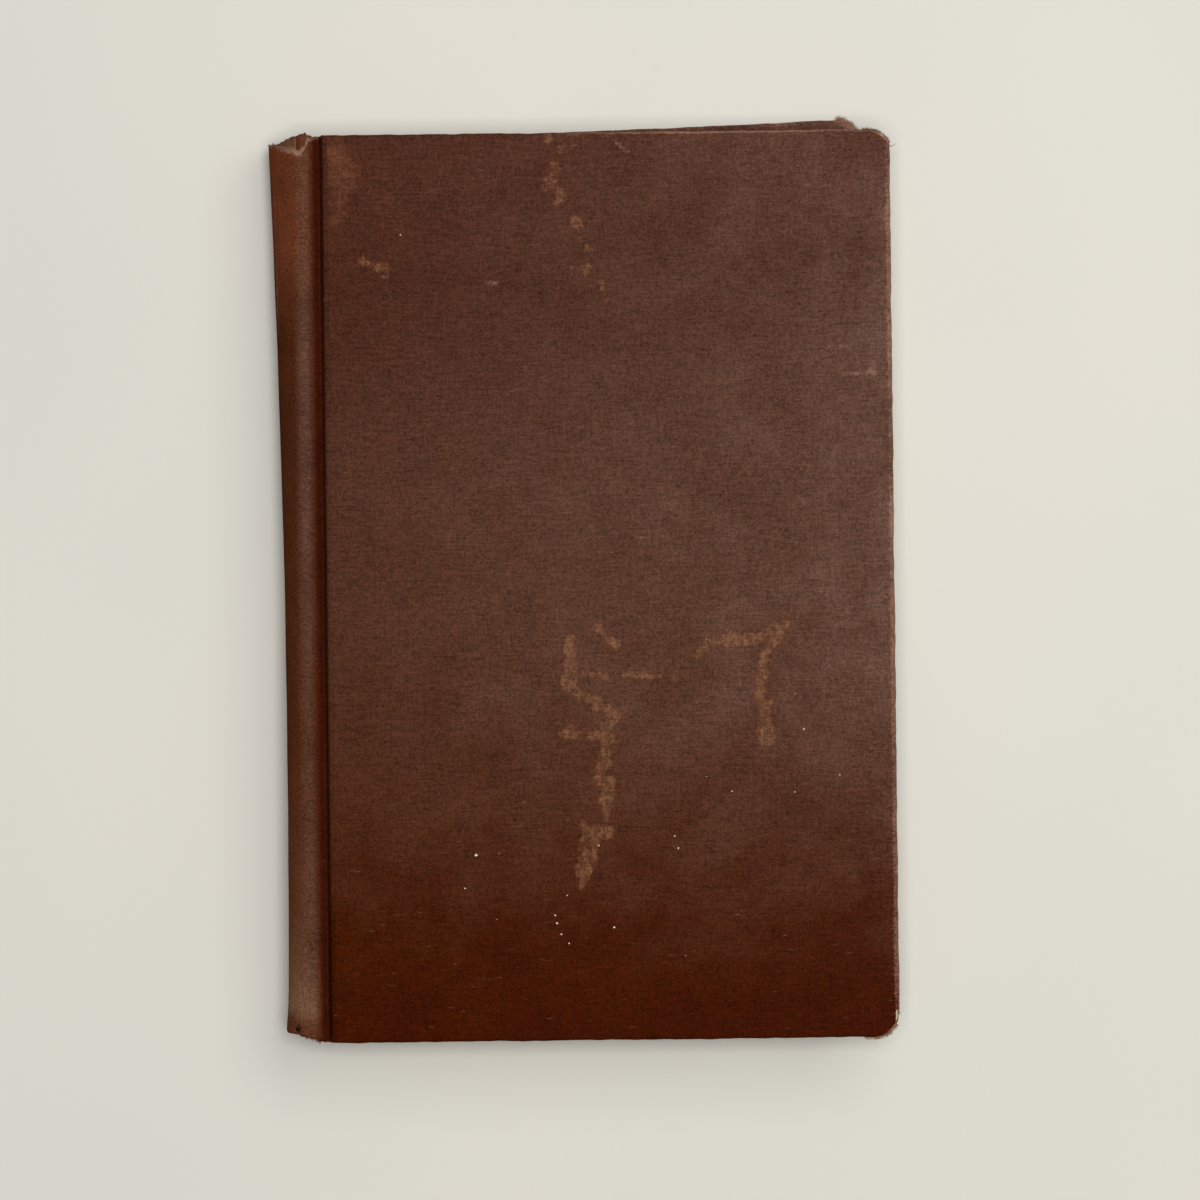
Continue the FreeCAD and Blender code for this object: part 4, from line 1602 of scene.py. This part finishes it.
    def build_turned(self, along: np.ndarray, rng: np.random.Generator) -> None:
        """Makes the cloth that is turned in behind the spine's card at the head.

        Args:
            along: distance round the spine from the front groove.
            rng: source of the ragged edge.
        """
        b = self.binding
        edge = b.half_height + np.interp(along, *TURNED_EDGE)
        edge += 0.18 * waves(rng, along[:, None], 1.0, 5.0)
        y = edge - self.turn_in * np.linspace(0, 1, self.turned_rows)[:, None]
        grid = b.over_back(y, self.turned_layer - b.cloth, b.groove_depth + 0.36, self.counts, 0.6)
        faces, thickness = grid_quads(*y.shape), b.cloth * HIDDEN_CLOTH_SHOWN
        piece = make_sheet(
            "spine_cloth_turned", grid.reshape(-1, 3), faces, (-1, 0, 0), thickness
        )
        hand_over(piece, TURNED.build(), "book_cloth", "text_block", "spine_cloth")


@dataclass
class JointCloth:
    """The cloth along the bottom of a groove, where the book bends as the cover opens."""

    binding: Binding
    side: Side
    rows: int = 150
    end_rows: int = 6
    roll: float = 1.15
    bend: tuple[float, float] = (-1.25, 0.05)
    cloth: BookCloth = BookCloth()

    def profile(self) -> tuple[np.ndarray, np.ndarray]:
        """The climb from the groove's floor over the cover's side and roll, into its face.

        Returns:
            Distances out from the joint edge, and depths.
        """
        turn = np.radians(np.linspace(0, 90, 8))
        rim, over = self.roll + 0.05, self.roll
        outs = [[-0.62, -0.44, -0.29, -0.17, -0.09], over - rim * np.cos(turn), [over + 0.12]]
        deep = [[2.7, 2.52, 2.25, 1.9, 1.5], over - rim * np.sin(turn), [0.12]]
        return np.concatenate(outs), np.concatenate(deep)

    def surface(self) -> np.ndarray:
        """Points of the strip.

        Rows run along the groove. Columns follow the foot of the spine's wall and the fillet,
        climb the cover's side, follow a quarter circle over its roll and dip into its face.
        Near head and tail the climb sinks with the roll of the cover's own edge.

        Returns:
            The points, as rows by columns by three.
        """
        b, side = self.binding, self.side
        top = b.half_height - 0.1
        end = np.linspace(top - 1.1, top, self.end_rows)
        y = np.concatenate([-end[::-1], np.linspace(2 - top, top - 2, self.rows), end])[:, None]
        layer, floor, parts = np.full_like(y, 0.06), np.full_like(y, b.groove_depth + 0.02), []
        for part, low, count in ((Stretch.WALL, 0.35, 3), (Stretch.FILLET, 1.0, 6)):
            share = np.linspace(low, 0.0, count)[None, :]
            x, z = b.flank(side, part, y + 0 * share, share, layer, floor, 0.8)
            parts.append(np.stack([x, y + 0 * x, z], -1))
        outs, deep = self.profile()
        climb = b.edge_x(side, y + 0 * outs, 0) + outs
        sink = np.clip((np.abs(y) - (b.half_height - 0.75)) / 0.75, 0, 1)
        depth = deep + 0.75 * (1 - np.sqrt(1 - sink**2)) * np.clip((2.7 - deep) / 2, 0, 1)
        height = b.thickness - depth if side is Side.FRONT else depth
        parts.append(np.stack([climb, y + 0 * climb, height], -1))
        return np.concatenate(parts, 1)

    def build(self) -> None:
        """Makes the strip and gives it its finish."""
        b, side = self.binding, self.side
        front, grid = side is Side.FRONT, self.surface()
        gap = grid[..., 0] - b.edge_x(side, grid[..., 1], 0.0)
        none = np.zeros(gap.size)
        # Painted shade in the groove, with the unfaded cloth there; no painted sheen.
        marks = {"rub": none, "painted_sheen": none, "groove_shade_and_unfaded": groove_shade_and_unfaded_share(gap)}
        faces, outward = grid_quads(*gap.shape), (0, 0, 1 if front else -1)
        name, thickness = f"{side.value}_joint_cloth", b.cloth * HIDDEN_CLOTH_SHOWN
        piece = make_sheet(name, grid.reshape(-1, 3), faces, outward, thickness, marks)
        level = b.thickness - b.groove_depth if front else b.groove_depth
        middle = np.array([b.edge_x(side, np.zeros(1), 0.0)[0], 0.0, level])
        finish = self.cloth.build(f"{side.value}_joint_book_cloth", False, b.half_height)
        hand_over_bending(piece, finish, side.body)


@dataclass
class GutterPaper:
    """The endpaper's fold in the gutter, between a flyleaf and its pastedown."""

    binding: Binding
    side: Side
    low: float = 3.425
    high: float = 3.275
    reach: float = 2.2
    thickness: float = 0.03
    rows: int = 90

    def build(self) -> None:
        """Makes the folded strip and gives it its finish.

        The profile is a flat leg on the flyleaf, a half circle at the joint and a flat leg on
        the pastedown, carried along the gutter.
        """
        b, side = self.binding, self.side
        front, top = side is Side.FRONT, b.half_leaves - 0.3
        y = np.linspace(-top, top, self.rows)[:, None]
        bend = (self.low - self.high) / 2
        turn = np.radians(np.linspace(270, 90, 13))
        fold_out, fold_deep = -0.9 + bend * np.cos(turn), self.high + bend - bend * np.sin(turn)
        out = np.concatenate([[self.reach, 0.6], fold_out, [0.6, self.reach]])
        deep = np.concatenate([[self.low] * 2, fold_deep, [self.high] * 2])
        x = b.edge_x(side, y, 0.0) + out
        z = b.thickness - deep if front else deep
        grid = np.stack([x, y + 0 * x, z + 0 * x], -1)
        name, faces = f"{side.value}_gutter_paper", grid_quads(*x.shape)
        piece = make_sheet(name, grid.reshape(-1, 3), faces, (-1, 0, 0), self.thickness)
        hand_over_bending(piece, ENDPAPER.build(), side.body)


# The leaves


@dataclass
class TextBlock:
    """The leaves, backed at the spine, with uneven edges and the lines between gatherings."""

    binding: Binding
    leaves: int = 64
    extra_steps: int = 24
    unevenness: float = 0.09
    ridge_end: float = 0.012
    wall_end: float = 0.022
    seed: int = 5

    def section(self, leaf: np.ndarray, out: np.ndarray, y: np.ndarray) -> np.ndarray:
        """A point inside the section of the leaves at height y.

        It is a Coons patch of the four curves round the section: the front leaf, the rear
        leaf, the back's arc and the fore-edge's hollow.

        Args:
            leaf: 0 on the rear leaf, 1 on the front one.
            out: 0 at the back, 1 at the fore-edge.
            y: heights.

        Returns:
            X and Z along the last axis.
        """
        front, rear = self.leaf_line(Side.FRONT, out, y), self.leaf_line(Side.REAR, out, y)
        back, fore = self.back_line(leaf, y), self.fore_line(leaf, y)
        corners = {
            (side, at): self.leaf_line(side, np.full_like(out, at), y)
            for side in Side
            for at in (0.0, 1.0)
        }
        u, v = leaf[..., None], out[..., None]
        ruled = (1 - u) * rear + u * front + (1 - v) * back + v * fore
        twice = (1 - u) * ((1 - v) * corners[Side.REAR, 0.0] + v * corners[Side.REAR, 1.0])
        twice += u * ((1 - v) * corners[Side.FRONT, 0.0] + v * corners[Side.FRONT, 1.0])
        return ruled - twice

    def leaf_line(self, side: Side, out: np.ndarray, y: np.ndarray) -> np.ndarray:
        """The outermost leaf of one side: over the shoulder, down the wall and out flat.

        Args:
            side: which side.
            out: 0 at the back, 1 at the fore-edge.
            y: heights.

        Returns:
            X and Z along the last axis.
        """
        b, top, foot = self.binding, self.ridge_end, self.wall_end
        layer, floor = np.full_like(y, b.leaf_layer), np.full_like(y, b.leaf_depth)
        bent, slid = np.clip(1 - out / top, 0, 1), 1 - np.clip((out - top) / (foot - top), 0, 1)
        ridge = b.flank(side, Stretch.RIDGE, y, bent, layer, floor, 0.0)
        wall = b.flank(side, Stretch.WALL, y, slid, layer, floor, 0.0)
        foot_x, foot_z = b.flank(side, Stretch.WALL, y, 0 * y, layer, floor, 0.0)
        share = np.clip((out - foot) / (1 - foot), 0, 1)
        flat = (foot_x + (b.edge_x(side, y, b.leaf_width) - foot_x) * share, foot_z)
        lines = [
            np.where(out < top, on_ridge, np.where(out < foot, on_wall, on_flat))
            for on_ridge, on_wall, on_flat in zip(ridge, wall, flat, strict=True)
        ]
        return np.stack(lines, -1)

    def back_line(self, leaf: np.ndarray, y: np.ndarray) -> np.ndarray:
        """The round back of the leaves, from the rear shoulder to the front one."""
        b = self.binding
        return np.stack(b.round_back(y, 1 - leaf, b.leaf_layer), -1)

    def fore_line(self, leaf: np.ndarray, y: np.ndarray) -> np.ndarray:
        """The hollow fore-edge: a parabola between the ends of the two outer leaves.

        Args:
            leaf: 0 on the rear leaf, 1 on the front one.
            y: heights.

        Returns:
            X and Z along the last axis.
        """
        b = self.binding
        rear, front = (b.edge_x(side, y, b.leaf_width) for side in (Side.REAR, Side.FRONT))
        x = rear + (front - rear) * leaf - 4 * b.fore_edge_hollow * leaf * (1 - leaf)
        z = b.leaf_depth + (b.thickness - 2 * b.leaf_depth) * leaf
        return np.stack([x, z], -1)

    def surface(
        self, leaf: np.ndarray, out: np.ndarray, up: np.ndarray, uneven: np.ndarray
    ) -> np.ndarray:
        """Points of the block: the section, cut at head and tail square to each leaf.

        The height of a point depends on its X and the section's X on the height, so both are
        worked out in turn three times.

        Args:
            leaf: 0 on the rear leaf, 1 on the front one.
            out: 0 at the back, 1 at the fore-edge.
            up: -1 at the tail, 1 at the head.
            uneven: how far each point's leaf stands out past the others.

        Returns:
            The points, one for each place of the grid.
        """
        b = self.binding
        angle = b.slew * (1 - leaf)
        pivot = b.joint_edge - b.lean * (1 - leaf)
        reach = up * (b.half_leaves + uneven)
        y = reach.copy()
        for _ in range(3):
            x = self.section(leaf, out, y)[..., 0]
            y = (reach + (x - pivot) * np.sin(angle)) / np.cos(angle)
        flat = self.section(leaf, out, y)
        return np.stack([flat[..., 0] + out**8 * uneven, y, flat[..., 1]], -1)

    def patches(self) -> list[tuple[np.ndarray, np.ndarray, np.ndarray, np.ndarray]]:
        """The block's six sides: tail, back and rear leaf, then head, fore-edge and front leaf.

        Each leaf drawn has two rows with the same unevenness, so that it stands out whole.

        Returns:
            For each side, the arguments of surface().
        """
        rng = np.random.default_rng(self.seed)
        steps = [np.linspace(0, 1, self.leaves + 1), rng.uniform(0, 1, self.extra_steps)]
        steps = np.sort(np.concatenate(steps))
        rows = np.repeat(steps, 2)[1:-1]
        uneven = np.repeat(rng.normal(0, self.unevenness, len(steps) - 1), 2)[:, None]
        uneven[:2] = uneven[-2:] = 0
        ridge, flat = np.linspace(0, self.ridge_end, 8), np.linspace(0.04, 1, 40)
        out = np.concatenate([ridge, [0.015, 0.018, self.wall_end], flat])
        up = np.linspace(-1, 1, 80)
        sides = []
        for end in (0.0, 1.0):
            leaf, across = np.meshgrid(rows, out, indexing="ij")
            sides.append((leaf, across, np.full_like(leaf, 2 * end - 1), uneven + 0 * leaf))
            leaf, tall = np.meshgrid(rows, up, indexing="ij")
            sides.append((leaf, np.full_like(leaf, end), tall, uneven + 0 * leaf))
            across, tall = np.meshgrid(out, up, indexing="ij")
            sides.append((np.full_like(across, end), across, tall, 0 * across))
        return sides

    def build(self) -> None:
        """Makes the block as six patches of one surface, welded at their borders."""
        points, faces, leaves, base = [], [], [], 0
        for patch in self.patches():
            leaf = patch[0]
            points.append(self.surface(*patch).reshape(-1, 3))
            faces.append(grid_quads(*leaf.shape) + base)
            leaves.append(leaf.ravel())
            base += leaf.size
        marks = {"leaf": np.concatenate(leaves)}
        piece = make_sheet(
            "leaves", np.concatenate(points), np.concatenate(faces), marks=marks, smooth=20
        )
        weld(piece)
        hand_over(piece, LeafEdges().build(), "leaves", "text_block", "text_block")


# Frayed ends


@dataclass(frozen=True)
class Tuft:
    """Loose threads rooted along a run of a worn edge.

    On a cover the run is two places and a depth. On the spine it is two distances round it.
    """

    run: tuple[Spot, Spot, float] | Spot
    toward: Direction
    length: float
    count: int
    lie: float = 0.7
    stray: float = 0.35
    radius: float = 0.07


@dataclass
class Fray:
    """Loose threads at the worn corners and caps that ride on one body."""

    name: str
    body: str
    tufts: list[tuple[np.ndarray, Tuft]]
    finish: Fibre = FRAY
    seed: int = 7
    sides: int = 5
    stations: int = 7

    def build(self) -> None:
        """Makes all the threads of this body as one piece."""
        rng = np.random.default_rng(self.seed)
        tubes = [
            self.thread(edge, tuft, rng) for edge, tuft in self.tufts for _ in range(tuft.count)
        ]
        faces = tube_faces(len(tubes), self.stations, self.sides)
        piece = make_sheet(self.name, np.stack(tubes).reshape(-1, 3), faces)
        hand_over(piece, self.finish.build(), "book_cloth", self.body)

    def thread(self, edge: np.ndarray, tuft: Tuft, rng: np.random.Generator) -> np.ndarray:
        """One thread, rooted at a random place along the edge.

        It is a tapered tube about a quadratic curve from its root, through a bent middle
        point, to its tip.

        Args:
            edge: points of the worn edge.
            tuft: the threads' lengths and directions.
            rng: source of the randomness.

        Returns:
            Stations by sides by three.
        """
        at = rng.uniform(0, len(edge) - 1)
        low = min(int(at), len(edge) - 2)
        run = edge[low + 1] - edge[low]
        root = edge[low] + run * (at - low) + rng.normal(0, 0.05, 3)
        way = np.array(tuft.toward) / np.linalg.norm(tuft.toward)
        slack = max(np.linalg.norm(run), 1e-6)
        way = way + run / slack * rng.normal(0, tuft.lie) + rng.normal(0, tuft.stray, 3)
        length = tuft.length * rng.uniform(0.45, 1.1)
        tip = root + way / np.linalg.norm(way) * length
        knee = (root + tip) / 2 + rng.normal(0, 0.22, 3) * length
        t = np.linspace(0, 1, self.stations)[:, None]
        line = (1 - t) ** 2 * root + 2 * t * (1 - t) * knee + t**2 * tip
        along = np.gradient(line, axis=0)
        along /= np.linalg.norm(along, axis=1, keepdims=True)
        side = np.cross(along, np.array([0.3, 0.5, 0.81]))
        side /= np.linalg.norm(side, axis=1, keepdims=True)
        other = np.cross(along, side)
        turn = np.arange(self.sides)[:, None] * 2 * math.pi / self.sides
        radius = tuft.radius * (1 - 0.75 * t)
        ring = side[:, None] * np.cos(turn) + other[:, None] * np.sin(turn)
        return line[:, None] + ring * radius[:, None]


# The room


@dataclass(frozen=True)
class Lamp:
    """A square area light that faces straight down."""

    name: str
    place: Direction
    size: float
    power: float
    color: Direction

    def build(self) -> None:
        """Makes the light."""
        data = bpy.data.lights.new(self.name, "AREA")
        data.shape, data.size = "SQUARE", self.size
        data.energy, data.color = self.power, self.color
        light = bpy.data.objects.new(self.name, data)
        light.location = self.place
        bpy.context.scene.collection.objects.link(light)


@dataclass(frozen=True)
class Studio:
    """A plain pale floor, soft light from above and the upper right, and the camera above."""

    floor_drop: float = 0.0003
    floor_half: float = 2500.0
    distance: float = 1.2
    above: tuple[float, float] = (-0.0023, -0.0030)
    turn: float = -0.65
    lens: float = 166.0
    world: float = 0.13
    lamps: tuple[Lamp, ...] = (
        Lamp("window", (0.55, 0.52, 1.3), 1.05, 9.0, (1.0, 0.99, 0.97)),
        Lamp("ceiling", (0.05, -0.02, 1.6), 0.5, 16.0, (1.0, 1.0, 1.0)),
    )

    def build(self, top: float) -> None:
        """Makes the floor, the lights, the world and the camera.

        Args:
            top: height of the book's front cover, in metres.
        """
        scene = bpy.context.scene
        scene.view_settings.view_transform = "Standard"
        self.floor()
        for lamp in self.lamps:
            lamp.build()
        world = bpy.data.worlds.new("soft_room")
        world.use_nodes = True
        back = world.node_tree.nodes["Background"]
        back.inputs[0].default_value = (1.0, 1.0, 0.99, 1.0)
        back.inputs[1].default_value = self.world
        scene.world = world
        data = bpy.data.cameras.new("camera")
        data.sensor_width, data.lens = 36.0, self.lens
        data.clip_start, data.clip_end = 0.05, 20.0
        camera = bpy.data.objects.new("camera", data)
        camera.location = (*self.above, top + self.distance)
        camera.rotation_euler = (0, 0, math.radians(self.turn))
        scene.collection.objects.link(camera)
        scene.camera = camera

    def floor(self) -> None:
        """A wide matt sheet, faintly uneven in tone."""
        half = self.floor_half
        corners = np.array([[-half, -half], [half, -half], [half, half], [-half, half]])
        points = np.column_stack([corners, np.full(4, -self.floor_drop / MM)])
        piece = make_sheet("floor", points, [[0, 1, 2, 3]], (0, 0, 1))
        g = Graph("floor_paper")
        tone = g.noise(g.place(), 0.006, 2.0)
        colour = g.mix(g.span(tone, 0.3, 0.7), srgb(221, 218, 209), srgb(218, 216, 207))
        piece.data.materials.append(g.finish(colour, 0.8, 0.1))


def dress(nodes: dict[str, bpy.types.Object]) -> None:
    """Gives the CAD nodes that stay on show their finishes, and reports them.

    Args:
        nodes: the CAD nodes by name.
    """
    for finish, names in (
        (ENDPAPER, ("front_pastedown", "rear_pastedown", "front_flyleaf", "rear_flyleaf")),
        (GAUZE, ("spine_super", "front_super_flange", "rear_super_flange")),
        (KRAFT, ("spine_lining",)),
    ):
        material = finish.build()
        for name in names:
            nodes[name].data.materials.clear()
            nodes[name].data.materials.append(material)
            LOG.info("%s: finished as %s", name, finish.name)


FRONT_TUFTS = (
    Tuft(((117.4, 98.5), (121.4, 97.6), 0.4), (0.1, 0.6, 0.4), 0.7, 110),
    Tuft(((121.4, 97.6), (123.2, 95.4), 0.5), (0.6, 0.6, 0.3), 0.6, 70),
    Tuft(((123.3, 94.8), (123.3, 93.8), 0.7), (1, 0.3, 0.3), 3.4, 1, 0, 0, 0.13),
    Tuft(((115.8, -98.5), (118.6, -98.5), 0.7), (0.1, -0.7, 0.2), 0.85, 80),
    Tuft(((118.4, -98.5), (121.6, -97.2), 0.5), (0.4, -0.6, 0.3), 0.8, 130),
    Tuft(((121.6, -97.2), (122.8, -95.9), 0.6), (0.7, -0.6, 0.2), 0.6, 26),
    Tuft(((123.3, -93.6), (123.3, -92.4), 0.9), (1, -0.3, 0.1), 0.6, 12),
)
REAR_TUFTS = (
    Tuft(((117.6, 98.5), (120.4, 98.3), 0.5), (0.05, 1, 0.3), 1.5, 90, 0.4, 0.3, 0.08),
    Tuft(((120.4, 98.3), (122.4, 97.0), 0.5), (0.6, 0.7, 0.6), 1.2, 130, 0.6, 0.4, 0.08),
    Tuft(((122.4, 97.0), (123.3, 94.6), 0.5), (1, 0.4, 0.6), 1.1, 90, 0.6, 0.4, 0.08),
)
HEAD_TUFTS = (
    Tuft((3.0, 4.2), (0, 1, -0.25), 0.6, 40, 0.2, 0.12),
    Tuft((4.4, 7.0), (-0.3, 0.6, -0.2), 0.5, 60, 0.3, 0.15),
    Tuft((7.0, 14.0), (-0.4, 0.5, 0.3), 0.65, 170, 0.8, 0.25),
    Tuft((14.0, 20.0), (-0.9, 0.5, 0.1), 0.9, 70),
)
TAIL_TUFTS = (
    Tuft((1.5, 7.0), (-0.2, -0.8, -0.2), 0.8, 90, 0.4, 0.2),
    Tuft((7.0, 12.0), (-0.2, -0.7, 0.2), 0.6, 50),
    Tuft((5.6, 5.8), (-1, -0.25, 0), 1.6, 1, 0, 0, 0.12),
)


def main() -> None:
    """Builds the book's pieces in order."""
    logging.basicConfig(level=logging.INFO, format="%(message)s")
    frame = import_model()
    binding = Binding.from_frame(frame)
    LOG.info("slew %.3f degrees", math.degrees(binding.slew))
    Studio().build(binding.thickness * MM)
    for side, spacing, head, tail, tufts in (
        (Side.FRONT, 0.85, (5.4, 3.8), (5.8, 4.6), FRONT_TUFTS),
        (Side.REAR, 2.0, (6.0, 4.6), (6.0, 5.5), REAR_TUFTS),
    ):
        Cover(binding, side, spacing, head, tail, tufts).build()
        JointCloth(binding, side).build()
        GutterPaper(binding, side).build()
    SpineCloth(binding, HEAD_TUFTS, TAIL_TUFTS).build()
    SpineCard(binding).build()
    TextBlock(binding).build()
    PaintFlecks(binding).build()
    dress(frame["nodes"])


if __name__ == "__main__":
    main()
